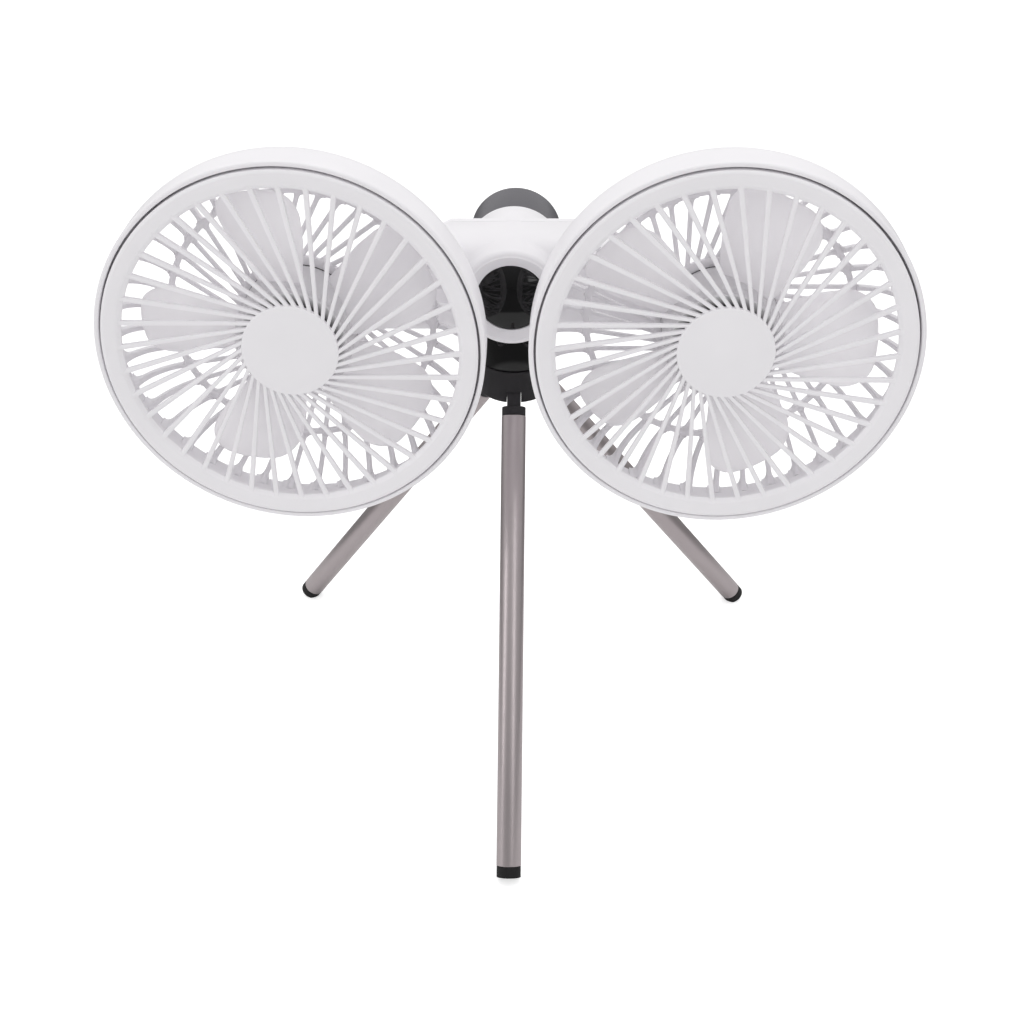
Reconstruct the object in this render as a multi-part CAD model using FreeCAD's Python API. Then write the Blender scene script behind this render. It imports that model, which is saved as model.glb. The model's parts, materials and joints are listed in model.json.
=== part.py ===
"""Dual-head desk fan on a folding tripod: two caged fan heads on a forked beam with a battery pod.

Millimetres, +Z up, fan heads facing -Y. Pieces are laid out about the tripod's axis, then moved together
so that the origin is the middle of the footprint on the table.
"""
import FreeCAD, Part
import math
import os

V = FreeCAD.Vector
X_AXIS = V(1, 0, 0)
Y_AXIS = V(0, 1, 0)
Z_AXIS = V(0, 0, 1)

# Fits: running pairs, fixed pairs, and pieces that pass each other
RUN_GAP = 0.05
SEAT_GAP = 0.02
PASS_GAP = 0.3
FACE_GAP = 0.1
OVERCUT = 5.0

# Tripod legs
LEG_SPLAY = 37.0
LEG_AZIMUTHS = {"front": -90.0, "rear_right": 32.6, "rear_left": 147.4}
TUBE_RADIUS = 5.5
TUBE_WALL = 0.8
TUBE_LENGTH = 203.0
TONGUE_WIDTH = 6.0
TONGUE_HALF_DEPTH = 4.0
TONGUE_REACH = 9.7
COLLAR_RADIUS = 5.05
COLLAR_LENGTH = 3.0
PLUG_LENGTH = 10.0
CAP_SET_IN = 0.1
CAP_LENGTH = 5.0
CAP_SPIGOT = 8.0
SOLE_CUT = 1.0
LEG_PIN_RADIUS = 1.5
LEG_PIN_LENGTH = 20.0

# Tripod hub and swivel
LEG_PIVOT_RADIUS = 9.8
HUB_RADIUS = 15.8
HUB_BELOW_PIVOT = 5.6
HUB_HEIGHT = 15.4
HUB_EDGE = 0.8
SLOT_STEPS = 4
SWIVEL_WASHER_RADIUS = 13.0
SWIVEL_WASHER_THICKNESS = 0.8
SWIVEL_BOLT_RADIUS = 2.5
SWIVEL_BOLT_BITE = 12.0
SWIVEL_HEAD_RADIUS = 5.0
SWIVEL_HEAD_HEIGHT = 4.0

# Neck between the tripod and the beam
NECK_RADIUS = 15.8
NECK_HEIGHT = 23.8
NECK_FLOOR = 4.0
NECK_CAVITY_RADIUS = 6.4
NECK_SCREW_OFFSET = 9.0
NECK_SCREW_LENGTH = 12.0

# Self-tapping screws
SCREW_RADIUS = 1.2
SCREW_HEAD_RADIUS = 2.2
SCREW_HEAD_HEIGHT = 1.6
BOSS_WALL = 2.2

# Pod in the middle of the beam, with its axis along Y
POD_RADIUS = 21.4
POD_WALL = 1.8
POD_EDGE = 2.5
POD_FRONT_Y = -38.3
POD_REAR_Y = 14.0
DISH_RADIUS = 18.8
DISH_DEPTH = 1.2
BUTTON_RADIUS = 14.4
BUTTON_CROWN = 3.4
BUTTON_FLANGE = 1.6
BUTTON_FLANGE_THICKNESS = 1.1
BUTTON_TRAVEL = 0.8
SWITCH_RADIUS = 2.0
SWITCH_HEIGHT = 1.0
BOARD_THICKNESS = 1.2
CELL_RADIUS = 9.1
CELL_LENGTH = 65.0
CELL_SPRING_ROOM = 5.6
CAP_DRUM_RADIUS = 20.8
CAP_DRUM_WALL = 1.6
CAP_DRUM_ROUND = 3.0
CAP_SPIGOT_LENGTH = 2.4
CAP_SPIGOT_WALL = 1.0
PORT_WIDTH = 9.0
PORT_HEIGHT = 3.3
PORT_DEPTH = 7.4
PORT_SKIN = 0.35
PORT_RECESS = 0.5
PORT_TONGUE_WIDTH = 6.0
PORT_TONGUE_THICKNESS = 0.7

# Beam arms, swept forward from the pod to the heads
BEAM_WALL = 2.2
BEAM_MID_HALF_WIDTH = 27.0
BEAM_MID_Y = -13.6
BEAM_MID_HALF_DEPTH = 16.4
BEAM_MID_HALF_HEIGHT = 21.0
BEAM_FRONT_CORNER = 9.0
BEAM_REAR_CORNER = 3.0
ARM_END_HALF = 12.0
ARM_END_CORNER = 10.0
ARM_END_BLOCK = 8.6
ARM_BARREL_LENGTH = 6.6
PARTING_MID_Y = -3.4
PARTING_END_SHIFT = 6.0
SEAM_GAP = 0.2
SHELL_SCREW_SPOTS = (36.0, 58.0)
SHELL_SCREW_SINK = 1.2
SHELL_SCREW_BITE = 8.0

# Fan heads
HEAD_HALF_SPACING = 85.8
HEAD_RADIUS = 77.4
HEAD_WALL = 2.0
HEAD_FRONT_Y = -89.1
HEAD_STRAIGHT_WALL = 13.5
HEAD_REAR_ROUND = 21.0
RING_SEAT_STEP = 1.5
RING_GAP = 0.35
RING_PROUD = 0.5
RING_THICKNESS = 3.0
RING_EDGE = 0.9
GRILLE_RING_WIDTH = 7.75
GRILLE_BITE = 1.5
DISC_RADIUS = 19.3
SPOKE_COUNT = 40
SPOKE_TANGENT = 11.6
SPOKE_INNER_WIDTH = 1.5
SPOKE_OUTER_WIDTH = 2.1
SPOKE_THICKNESS = 2.2
RIB_TANGENT = 14.0
RIB_WIDTH = 2.0
GUARD_HUB_RADIUS = 27.0
GUARD_RING_INSET = 20.6
GUARD_RING_WIDTH = 2.5
GUARD_EDGE = 2.4
REAR_BOSS_RADIUS = 22.0
REAR_BOSS_THICKNESS = 1.6

# Tilt joint behind each head
TILT_BACK = 16.6
KNUCKLE_RADIUS = 11.5
KNUCKLE_HALF_WIDTH = 6.3
TILT_BOLT_RADIUS = 2.5
TILT_BOLT_BITE = 12.0
TILT_HEAD_RADIUS = 5.0
TILT_HEAD_HEIGHT = 2.6
TILT_WASHER_RADIUS = 9.0
TILT_WASHER_THICKNESS = 0.8

# Motor and rotor
MOTOR_RADIUS = 14.0
MOTOR_LENGTH = 16.0
MOTOR_EDGE = 1.0
MOTOR_SCREW_OFFSET = 10.0
MOTOR_SCREW_LENGTH = 7.0
SHAFT_RADIUS = 1.5
SHAFT_TAIL = 14.0
SHAFT_NOSE = 3.2
ROTOR_HUB_RADIUS = 23.8
ROTOR_HUB_WALL = 2.0
ROTOR_HUB_LENGTH = 23.0
ROTOR_HUB_EDGE = 2.0
ROTOR_REAR_GAP = 1.8
ROTOR_BOSS_RADIUS = 4.0
BLADE_COUNT = 5
BLADE_TIP_RADIUS = 62.0
BLADE_CORNER = 11.0
BLADE_ROOT_SINK = 1.0
BLADE_THICKNESS = 1.6
BLADE_BEHIND_FRONT = 18.7
BLADE_ROOT = (24.0, 34.0)
BLADE_MIDDLE = (36.0, 26.0)
BLADE_TIP = (42.0, 20.0)
BLADE_CAMBER = 0.07
BLADE_START = {"left": 41.4, "right": 2.2}


def cylinder(radius, start, end):
    along = end.sub(start)
    return Part.makeCylinder(radius, along.Length, start, along)


def tube(outer, inner, start, end):
    return cylinder(outer, start, end).cut(cylinder(inner, start, end))


def block(low, high):
    size = high.sub(low)
    return Part.makeBox(size.x, size.y, size.z, low)


def turned_about_y(profile):
    """Solid of revolution about the Y axis from (radius, y) points and ready-made edges."""
    edges = []
    last = None
    for item in profile:
        if isinstance(item, tuple):
            point = V(item[0], item[1], 0)
            if last is not None and point.sub(last).Length > 1e-6:
                edges.append(Part.LineSegment(last, point).toShape())
            last = point
        else:
            edges.append(item.toShape())
            last = item.EndPoint
    first = V(profile[0][0], profile[0][1], 0)
    if last.sub(first).Length > 1e-6:
        edges.append(Part.LineSegment(last, first).toShape())
    return Part.Face(Part.Wire(edges)).revolve(V(0, 0, 0), Y_AXIS, 360)


def arc_about(centre, radius, from_deg, to_deg):
    """Arc in the (radius, y) plane, given by its centre and two angles."""
    points = []
    for angle in (from_deg, (from_deg + to_deg) / 2, to_deg):
        turn = math.radians(angle)
        points.append(V(centre[0] + radius * math.cos(turn), centre[1] + radius * math.sin(turn), 0))
    return Part.Arc(points[0], points[1], points[2])


def moved(shape, offset):
    copy = shape.copy()
    copy.translate(offset)
    return copy


def screw(seat, direction, length):
    """Pan-head screw: its head sits on `seat`, its shank runs along `direction`."""
    shank = cylinder(SCREW_RADIUS, seat, seat + direction * length)
    head = cylinder(SCREW_HEAD_RADIUS, seat, seat - direction * SCREW_HEAD_HEIGHT)
    return shank.fuse(head).removeSplitter()


# Places worked out from the driving dimensions
SPLAY = math.radians(LEG_SPLAY)
CAP_RADIUS = TUBE_RADIUS - CAP_SET_IN
TUBE_START = TONGUE_REACH + COLLAR_LENGTH
LEG_REACH = TUBE_START + TUBE_LENGTH + CAP_LENGTH
LEG_PIVOT_Z = LEG_REACH * math.cos(SPLAY) + CAP_RADIUS * math.sin(SPLAY) - SOLE_CUT
HUB_BOTTOM = LEG_PIVOT_Z - HUB_BELOW_PIVOT
HUB_TOP = HUB_BOTTOM + HUB_HEIGHT
NECK_BOTTOM = HUB_TOP + SWIVEL_WASHER_THICKNESS + FACE_GAP
BEAM_Z = NECK_BOTTOM + NECK_HEIGHT + POD_RADIUS
POD_INNER = POD_RADIUS - POD_WALL
TILT_Y = HEAD_FRONT_Y + HEAD_STRAIGHT_WALL + HEAD_REAR_ROUND + TILT_BACK
KNUCKLE_INNER_X = HEAD_HALF_SPACING - KNUCKLE_HALF_WIDTH
ARM_TIP_X = KNUCKLE_INNER_X - TILT_WASHER_THICKNESS - FACE_GAP
ARM_END_X = ARM_TIP_X - ARM_BARREL_LENGTH
GRILLE_OPENING = HEAD_RADIUS - HEAD_WALL - RING_GAP - GRILLE_RING_WIDTH
GUARD_OUTER_RADIUS = HEAD_RADIUS - GUARD_EDGE
GUARD_RING_RADIUS = GUARD_OUTER_RADIUS - GUARD_RING_INSET

PIECES = {}


def leg_placed(shape, azimuth):
    """Turn a piece drawn hanging straight down from its pivot out to the splayed leg."""
    copy = shape.copy()
    copy.rotate(V(0, 0, 0), Y_AXIS, -LEG_SPLAY)
    copy.translate(V(LEG_PIVOT_RADIUS, 0, LEG_PIVOT_Z))
    copy.rotate(V(0, 0, 0), Z_AXIS, azimuth)
    return copy


def leg_fitting():
    """Moulded end of a leg: an eye and tongue in the hub slot, a collar, and a plug in the tube."""
    half = TONGUE_WIDTH / 2
    eye = cylinder(TONGUE_HALF_DEPTH, V(0, -half, 0), V(0, half, 0))
    tongue = block(V(-TONGUE_HALF_DEPTH, -half, -TONGUE_REACH), V(TONGUE_HALF_DEPTH, half, 0))
    collar = cylinder(COLLAR_RADIUS, V(0, 0, -TUBE_START), V(0, 0, -TONGUE_REACH))
    plug_radius = TUBE_RADIUS - TUBE_WALL - SEAT_GAP
    plug = cylinder(plug_radius, V(0, 0, -TUBE_START - PLUG_LENGTH), V(0, 0, -TUBE_START))
    pin_hole = cylinder(LEG_PIN_RADIUS + RUN_GAP, V(0, -TONGUE_WIDTH, 0), V(0, TONGUE_WIDTH, 0))
    return eye.fuse([tongue, collar, plug]).removeSplitter().cut(pin_hole)


def leg_tube():
    bore = TUBE_RADIUS - TUBE_WALL
    return tube(TUBE_RADIUS, bore, V(0, 0, -TUBE_START - TUBE_LENGTH), V(0, 0, -TUBE_START))


def foot_cap():
    """Rubber plug in the end of the tube, a little inside its outline, with a spigot up the bore."""
    top = V(0, 0, -LEG_REACH + CAP_LENGTH)
    end = cylinder(CAP_RADIUS, V(0, 0, -LEG_REACH), top)
    spigot = cylinder(TUBE_RADIUS - TUBE_WALL - SEAT_GAP, top, top + V(0, 0, CAP_SPIGOT))
    return end.fuse(spigot).removeSplitter()


def hub_leg_slot():
    """Space that one leg's eye and tongue sweep between the folded and the splayed leg."""
    half = TONGUE_WIDTH / 2 + PASS_GAP
    reach = TONGUE_HALF_DEPTH + 2 * PASS_GAP
    sweep = cylinder(reach, V(0, -half, 0), V(0, half, 0))
    for step in range(SLOT_STEPS):
        way = block(V(-reach, -half, -HUB_RADIUS - OVERCUT), V(reach, half, 0))
        way.rotate(V(0, 0, 0), Y_AXIS, -LEG_SPLAY * step / (SLOT_STEPS - 1))
        sweep = sweep.fuse(way)
    sweep.translate(V(LEG_PIVOT_RADIUS, 0, LEG_PIVOT_Z))
    return sweep


def leg_pin(clearance, azimuth):
    half = LEG_PIN_LENGTH / 2
    start = V(LEG_PIVOT_RADIUS, -half, LEG_PIVOT_Z)
    pin = cylinder(LEG_PIN_RADIUS + clearance, start, V(LEG_PIVOT_RADIUS, half, LEG_PIVOT_Z))
    pin.rotate(V(0, 0, 0), Z_AXIS, azimuth)
    return pin


def build_tripod():
    hub = cylinder(HUB_RADIUS, V(0, 0, HUB_BOTTOM), V(0, 0, HUB_TOP))
    rims = [edge for edge in hub.Edges if isinstance(edge.Curve, Part.Circle)]
    hub = hub.makeFillet(HUB_EDGE, rims)
    bolt_end = V(0, 0, HUB_TOP - SWIVEL_BOLT_BITE)
    hub = hub.cut(cylinder(SWIVEL_BOLT_RADIUS + SEAT_GAP, bolt_end, V(0, 0, HUB_TOP + OVERCUT)))
    pins = []
    for name, azimuth in LEG_AZIMUTHS.items():
        slot = hub_leg_slot()
        slot.rotate(V(0, 0, 0), Z_AXIS, azimuth)
        hub = hub.cut(slot).cut(leg_pin(SEAT_GAP, azimuth))
        pins.append(leg_pin(0.0, azimuth))
        PIECES["leg_fitting_" + name] = leg_placed(leg_fitting(), azimuth)
        PIECES["leg_tube_" + name] = leg_placed(leg_tube(), azimuth)
        cap = leg_placed(foot_cap(), azimuth)
        box = cap.BoundBox
        low = V(box.XMin - OVERCUT, box.YMin - OVERCUT, -OVERCUT)
        below = block(low, V(box.XMax + OVERCUT, box.YMax + OVERCUT, 0))
        PIECES["foot_cap_" + name] = cap.cut(below)
    PIECES["tripod_hub"] = hub
    PIECES["leg_pivot_pins"] = Part.Compound(pins)

    washer_hole = SWIVEL_BOLT_RADIUS + RUN_GAP
    washer_top = V(0, 0, HUB_TOP + SWIVEL_WASHER_THICKNESS)
    PIECES["swivel_washer"] = tube(SWIVEL_WASHER_RADIUS, washer_hole, V(0, 0, HUB_TOP), washer_top)
    head_z = NECK_BOTTOM + NECK_FLOOR + FACE_GAP
    shank = cylinder(SWIVEL_BOLT_RADIUS, bolt_end, V(0, 0, head_z))
    head = cylinder(SWIVEL_HEAD_RADIUS, V(0, 0, head_z), V(0, 0, head_z + SWIVEL_HEAD_HEIGHT))
    PIECES["swivel_bolt"] = shank.fuse(head).removeSplitter()


def beam_section(x, inset):
    """Rounded rectangle across the beam at x, shrunk by a wall thickness."""
    share = max(0.0, (abs(x) - BEAM_MID_HALF_WIDTH) / (ARM_END_X - BEAM_MID_HALF_WIDTH))
    share = min(share, 1.0)
    middle = BEAM_MID_Y + (TILT_Y - BEAM_MID_Y) * share
    depth = BEAM_MID_HALF_DEPTH + (ARM_END_HALF - BEAM_MID_HALF_DEPTH) * share - inset
    height = BEAM_MID_HALF_HEIGHT + (ARM_END_HALF - BEAM_MID_HALF_HEIGHT) * share - inset
    rear_corner = BEAM_REAR_CORNER + (ARM_END_CORNER - BEAM_REAR_CORNER) * share - inset
    front_corner = BEAM_FRONT_CORNER + (ARM_END_CORNER - BEAM_FRONT_CORNER) * share - inset
    edges = []
    last = None
    first = None
    for quarter, (side_y, side_z) in enumerate(((1, -1), (1, 1), (-1, 1), (-1, -1))):
        corner = rear_corner if side_y > 0 else front_corner
        centre = V(x, middle + side_y * (depth - corner), BEAM_Z + side_z * (height - corner))
        points = []
        for angle in (-90, -45, 0):
            turn = math.radians(angle + 90 * quarter)
            points.append(centre + V(0, corner * math.cos(turn), corner * math.sin(turn)))
        if last is None:
            first = points[0]
        else:
            edges.append(Part.LineSegment(last, points[0]).toShape())
        edges.append(Part.Arc(points[0], points[1], points[2]).toShape())
        last = points[2]
    edges.append(Part.LineSegment(last, first).toShape())
    return Part.Wire(edges)


def beam_body(inset, end_x, tip_x):
    """Middle block and both arms, solid, shrunk by a wall thickness."""
    start = beam_section(-BEAM_MID_HALF_WIDTH, inset)
    body = Part.Face(start).extrude(V(2 * BEAM_MID_HALF_WIDTH, 0, 0))
    arm = Part.makeLoft([beam_section(BEAM_MID_HALF_WIDTH, inset), beam_section(end_x, inset)], True, True)
    parts = [arm]
    if tip_x > end_x:
        parts.append(Part.Face(beam_section(end_x, inset)).extrude(V(tip_x - end_x, 0, 0)))
    for part in list(parts):
        parts.append(part.mirror(V(0, 0, 0), X_AXIS))
    return body.fuse(parts).removeSplitter()


def on_pod_axis(shape):
    """Move a piece turned about the Y axis up to the pod's axis."""
    return moved(shape, V(0, 0, BEAM_Z))


def pod_cylinder(radius, from_y, to_y):
    return cylinder(radius, V(0, from_y, BEAM_Z), V(0, to_y, BEAM_Z))


def parting_y(x):
    """Line in plan along which the beam's two shells meet."""
    share = max(0.0, (abs(x) - BEAM_MID_HALF_WIDTH) / (ARM_END_X - BEAM_MID_HALF_WIDTH))
    end_y = TILT_Y + PARTING_END_SHIFT
    return PARTING_MID_Y + (end_y - PARTING_MID_Y) * min(share, 1.0)


def behind_parting(shift):
    """Everything behind the parting line, moved by `shift` along Y."""
    reach_x = ARM_TIP_X + OVERCUT
    far_y = POD_REAR_Y + OVERCUT
    points = []
    for x in (-reach_x, -ARM_END_X, -BEAM_MID_HALF_WIDTH, BEAM_MID_HALF_WIDTH, ARM_END_X, reach_x):
        points.append(V(x, parting_y(x) + shift, BEAM_Z - POD_RADIUS - OVERCUT))
    points.append(V(reach_x, far_y, points[0].z))
    points.append(V(-reach_x, far_y, points[0].z))
    points.append(points[0])
    return Part.Face(Part.makePolygon(points)).extrude(V(0, 0, 2 * (POD_RADIUS + OVERCUT)))


def tilt_bolt(side):
    """Shoulder bolt along X: threaded in the arm, carrying the head's knuckle, head sunk in its far end."""
    start = ARM_TIP_X - TILT_BOLT_BITE
    under_head = HEAD_HALF_SPACING + KNUCKLE_HALF_WIDTH - TILT_HEAD_HEIGHT
    shank = cylinder(TILT_BOLT_RADIUS, V(start, TILT_Y, BEAM_Z), V(under_head, TILT_Y, BEAM_Z))
    head_end = V(under_head + TILT_HEAD_HEIGHT, TILT_Y, BEAM_Z)
    head = cylinder(TILT_HEAD_RADIUS, V(under_head, TILT_Y, BEAM_Z), head_end)
    bolt = shank.fuse(head).removeSplitter()
    return bolt if side > 0 else bolt.mirror(V(0, 0, 0), X_AXIS)


def build_beam():
    pod = pod_cylinder(POD_RADIUS, POD_FRONT_Y, POD_REAR_Y)
    front_rim = [edge for edge in pod.Edges if edge.BoundBox.YMax < POD_FRONT_Y + POD_EDGE]
    pod = pod.makeFillet(POD_EDGE, front_rim)
    outer = beam_body(0.0, ARM_END_X, ARM_TIP_X).fuse(pod).removeSplitter()
    wall_outer_y = POD_FRONT_Y + DISH_DEPTH
    wall_inner_y = wall_outer_y + POD_WALL
    hollow_end = ARM_TIP_X - ARM_END_BLOCK
    hollow = beam_body(BEAM_WALL, hollow_end, hollow_end)
    pod_hollow = pod_cylinder(POD_INNER, wall_inner_y, POD_REAR_Y + OVERCUT)
    shell = outer.cut(hollow).cut(pod_hollow)

    # Screw bosses run through the arms; the pod stays open for the cells
    spots = [side * x for x in SHELL_SCREW_SPOTS for side in (-1, 1)]
    boss_radius = SCREW_RADIUS + BOSS_WALL
    for x in spots:
        boss = cylinder(boss_radius, V(x, HEAD_FRONT_Y, BEAM_Z), V(x, POD_REAR_Y, BEAM_Z))
        shell = shell.fuse(boss.common(outer))
    shell = shell.removeSplitter()

    dish = Part.makeCone(DISH_RADIUS, BUTTON_RADIUS + PASS_GAP, DISH_DEPTH, V(0, POD_FRONT_Y, BEAM_Z), Y_AXIS)
    button_hole = pod_cylinder(BUTTON_RADIUS + PASS_GAP, wall_outer_y - RUN_GAP, wall_inner_y + RUN_GAP)
    shell = shell.cut(dish).cut(button_hole)

    # Bolt bores in the arm tips
    for side in (-1, 1):
        bore_start = V(side * (ARM_TIP_X - TILT_BOLT_BITE - FACE_GAP), TILT_Y, BEAM_Z)
        bore_end = V(side * (ARM_TIP_X + OVERCUT), TILT_Y, BEAM_Z)
        shell = shell.cut(cylinder(TILT_BOLT_RADIUS + SEAT_GAP, bore_start, bore_end))

    # Screws that hold the two shells together, sunk in the back of the arms
    screws = []
    for x in spots:
        seat_y = parting_y(x) + SHELL_SCREW_SINK
        seat = V(x, seat_y, BEAM_Z)
        screws.append(screw(seat, V(0, -1, 0), SHELL_SCREW_SINK + SHELL_SCREW_BITE))
        tip = V(x, parting_y(x) - SHELL_SCREW_BITE - FACE_GAP, BEAM_Z)
        shell = shell.cut(cylinder(SCREW_RADIUS + SEAT_GAP, tip, seat))
        back = V(x, POD_REAR_Y, BEAM_Z)
        shell = shell.cut(cylinder(SCREW_HEAD_RADIUS + PASS_GAP, seat, back))
    PIECES["shell_screws"] = Part.Compound(screws)

    # Screws down through the pod's floor into the neck
    floor_z = BEAM_Z - POD_INNER
    head_lift = POD_INNER - math.sqrt(POD_INNER ** 2 - SCREW_HEAD_RADIUS ** 2) + SEAT_GAP
    neck_screws = []
    neck_holes = []
    for y in (-NECK_SCREW_OFFSET, NECK_SCREW_OFFSET):
        seat = V(0, y, floor_z + head_lift)
        neck_screws.append(screw(seat, V(0, 0, -1), NECK_SCREW_LENGTH))
        hole_end = V(0, y, floor_z - NECK_SCREW_LENGTH)
        neck_holes.append(cylinder(SCREW_RADIUS + SEAT_GAP, hole_end, seat))
    PIECES["neck_screws"] = Part.Compound(neck_screws)
    shell = shell.cut(neck_holes)

    neck = cylinder(NECK_RADIUS, V(0, 0, NECK_BOTTOM), V(0, 0, BEAM_Z))
    saddle = outer.fuse(pod_cylinder(POD_RADIUS, POD_REAR_Y - OVERCUT, POD_REAR_Y + NECK_RADIUS))
    neck = neck.cut(moved(saddle, V(0, 0, -RUN_GAP)))
    neck = max(neck.Solids, key=lambda solid: solid.Volume)
    cavity_floor = V(0, 0, NECK_BOTTOM + NECK_FLOOR)
    neck = neck.cut(cylinder(NECK_CAVITY_RADIUS, cavity_floor, V(0, 0, BEAM_Z)))
    bore_low = V(0, 0, NECK_BOTTOM - OVERCUT)
    neck = neck.cut(cylinder(SWIVEL_BOLT_RADIUS + RUN_GAP, bore_low, cavity_floor))
    PIECES["neck"] = neck.cut(neck_holes)

    # Control board behind the button, with the charging socket on its back, opening downwards
    flange_front = wall_inner_y + PASS_GAP
    switch_y = flange_front + BUTTON_FLANGE_THICKNESS + BUTTON_TRAVEL
    board_front = switch_y + SWITCH_HEIGHT
    board_back = board_front + BOARD_THICKNESS
    board = pod_cylinder(POD_INNER - FACE_GAP, board_front, board_back)
    PIECES["control_board"] = board.fuse(pod_cylinder(SWITCH_RADIUS, switch_y, board_front)).removeSplitter()
    port_mouth = BEAM_Z - POD_RADIUS + PORT_RECESS
    half = PORT_WIDTH / 2
    port = block(V(-half, board_back, port_mouth), V(half, board_back + PORT_HEIGHT, port_mouth + PORT_DEPTH))
    uprights = [edge for edge in port.Edges if abs(edge.tangentAt(edge.FirstParameter).z) > 0.5]
    port = port.makeFillet(PORT_HEIGHT / 2 - RUN_GAP, uprights)
    port_hole = port.makeOffsetShape(FACE_GAP, RUN_GAP, fill=False)
    shell = shell.cut(port_hole).cut(moved(port_hole, V(0, 0, -2 * PORT_RECESS)))
    inner_low = V(-half + PORT_SKIN, board_back + PORT_SKIN, port_mouth - OVERCUT)
    tongue_top = port_mouth + PORT_DEPTH - PORT_SKIN
    inner_high = V(half - PORT_SKIN, board_back + PORT_HEIGHT - PORT_SKIN, tongue_top)
    mouth = block(inner_low, inner_high)
    mouth_sides = [edge for edge in mouth.Edges if abs(edge.tangentAt(edge.FirstParameter).z) > 0.5]
    mouth = mouth.makeFillet((PORT_HEIGHT - 2 * PORT_SKIN) / 2 - RUN_GAP, mouth_sides)
    tongue_y = board_back + PORT_HEIGHT / 2
    tongue_half = PORT_TONGUE_WIDTH / 2
    tongue_low = V(-tongue_half, tongue_y - PORT_TONGUE_THICKNESS / 2, port_mouth + 2 * PORT_SKIN)
    tongue_high = V(tongue_half, tongue_y + PORT_TONGUE_THICKNESS / 2, tongue_top)
    PIECES["usb_c_socket"] = port.cut(mouth).fuse(block(tongue_low, tongue_high)).removeSplitter()

    rear_side = behind_parting(SEAM_GAP / 2)
    PIECES["beam_rear_shell"] = shell.common(rear_side)
    PIECES["beam_front_shell"] = shell.cut(behind_parting(-SEAM_GAP / 2))

    rim_y = wall_outer_y
    flange_back = flange_front + BUTTON_FLANGE_THICKNESS
    crown_radius = (BUTTON_RADIUS ** 2 + BUTTON_CROWN ** 2) / (2 * BUTTON_CROWN)
    crown_centre = rim_y - BUTTON_CROWN + crown_radius
    rim_angle = math.degrees(math.asin(BUTTON_RADIUS / crown_radius))
    dome = arc_about((0.0, crown_centre), crown_radius, -90, -90 + rim_angle)
    button = turned_about_y([
        (0.0, rim_y - BUTTON_CROWN), dome, (BUTTON_RADIUS, flange_front),
        (BUTTON_RADIUS + BUTTON_FLANGE, flange_front), (BUTTON_RADIUS + BUTTON_FLANGE, flange_back),
        (0.0, flange_back)])
    PIECES["control_button"] = on_pod_axis(button)

    cell_start = board_back + SEAM_GAP
    cell_end = cell_start + CELL_LENGTH
    cells = []
    for side in (-1, 1):
        x = side * (CELL_RADIUS + FACE_GAP)
        cells.append(cylinder(CELL_RADIUS, V(x, cell_start, BEAM_Z), V(x, cell_end, BEAM_Z)))
    PIECES["battery_cells"] = Part.Compound(cells)

    # Drum-shaped cap that closes the back of the pod over the cells
    end_inner = cell_end + CELL_SPRING_ROOM
    end_outer = end_inner + CAP_DRUM_WALL
    spigot_outer = POD_INNER - FACE_GAP
    spigot_inner = spigot_outer - CAP_SPIGOT_WALL
    edge = arc_about((CAP_DRUM_RADIUS - CAP_DRUM_ROUND, end_outer - CAP_DRUM_ROUND), CAP_DRUM_ROUND, 0, 90)
    cap = turned_about_y([
        (0.0, end_inner), (CAP_DRUM_RADIUS - CAP_DRUM_ROUND, end_inner),
        (CAP_DRUM_RADIUS - CAP_DRUM_WALL, end_outer - CAP_DRUM_ROUND),
        (CAP_DRUM_RADIUS - CAP_DRUM_WALL, POD_REAR_Y + CAP_SPIGOT_LENGTH),
        (spigot_inner, POD_REAR_Y + CAP_SPIGOT_LENGTH), (spigot_inner, POD_REAR_Y - CAP_SPIGOT_LENGTH),
        (spigot_outer, POD_REAR_Y - CAP_SPIGOT_LENGTH), (spigot_outer, POD_REAR_Y + FACE_GAP),
        (CAP_DRUM_RADIUS, POD_REAR_Y + FACE_GAP), (CAP_DRUM_RADIUS, end_outer - CAP_DRUM_ROUND), edge,
        (0.0, end_outer)])
    PIECES["battery_cap"] = on_pod_axis(cap)

    for side, name in ((-1, "left"), (1, "right")):
        PIECES["tilt_bolt_" + name] = tilt_bolt(side)
        face = V(side * ARM_TIP_X, TILT_Y, BEAM_Z)
        far = V(side * (ARM_TIP_X + TILT_WASHER_THICKNESS), TILT_Y, BEAM_Z)
        washer = tube(TILT_WASHER_RADIUS, TILT_BOLT_RADIUS + RUN_GAP, face, far)
        PIECES["tilt_washer_" + name] = washer


def slot_wires(count, inner_radius, outer_radius, tangent, inner_width, outer_width):
    """Outlines, in the XZ plane, of the gaps between straight spokes that all touch one small circle."""
    def on_spoke(index, radius, offset):
        turn = math.radians(360.0 * index / count)
        along = math.sqrt(radius ** 2 - offset ** 2)
        x = along * math.cos(turn) - offset * math.sin(turn)
        z = along * math.sin(turn) + offset * math.cos(turn)
        return V(x, 0, z)

    def arc(start, end, radius):
        middle = start.add(end)
        middle.multiply(radius / middle.Length)
        return Part.Arc(start, middle, end).toShape()

    wires = []
    for index in range(count):
        a_in = on_spoke(index, inner_radius, tangent + inner_width / 2)
        a_out = on_spoke(index, outer_radius, tangent + outer_width / 2)
        b_out = on_spoke(index + 1, outer_radius, tangent - outer_width / 2)
        b_in = on_spoke(index + 1, inner_radius, tangent - inner_width / 2)
        wires.append(Part.Wire([
            Part.LineSegment(a_in, a_out).toShape(), arc(a_out, b_out, outer_radius),
            Part.LineSegment(b_out, b_in).toShape(), arc(b_in, a_in, inner_radius)]))
    return wires


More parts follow.
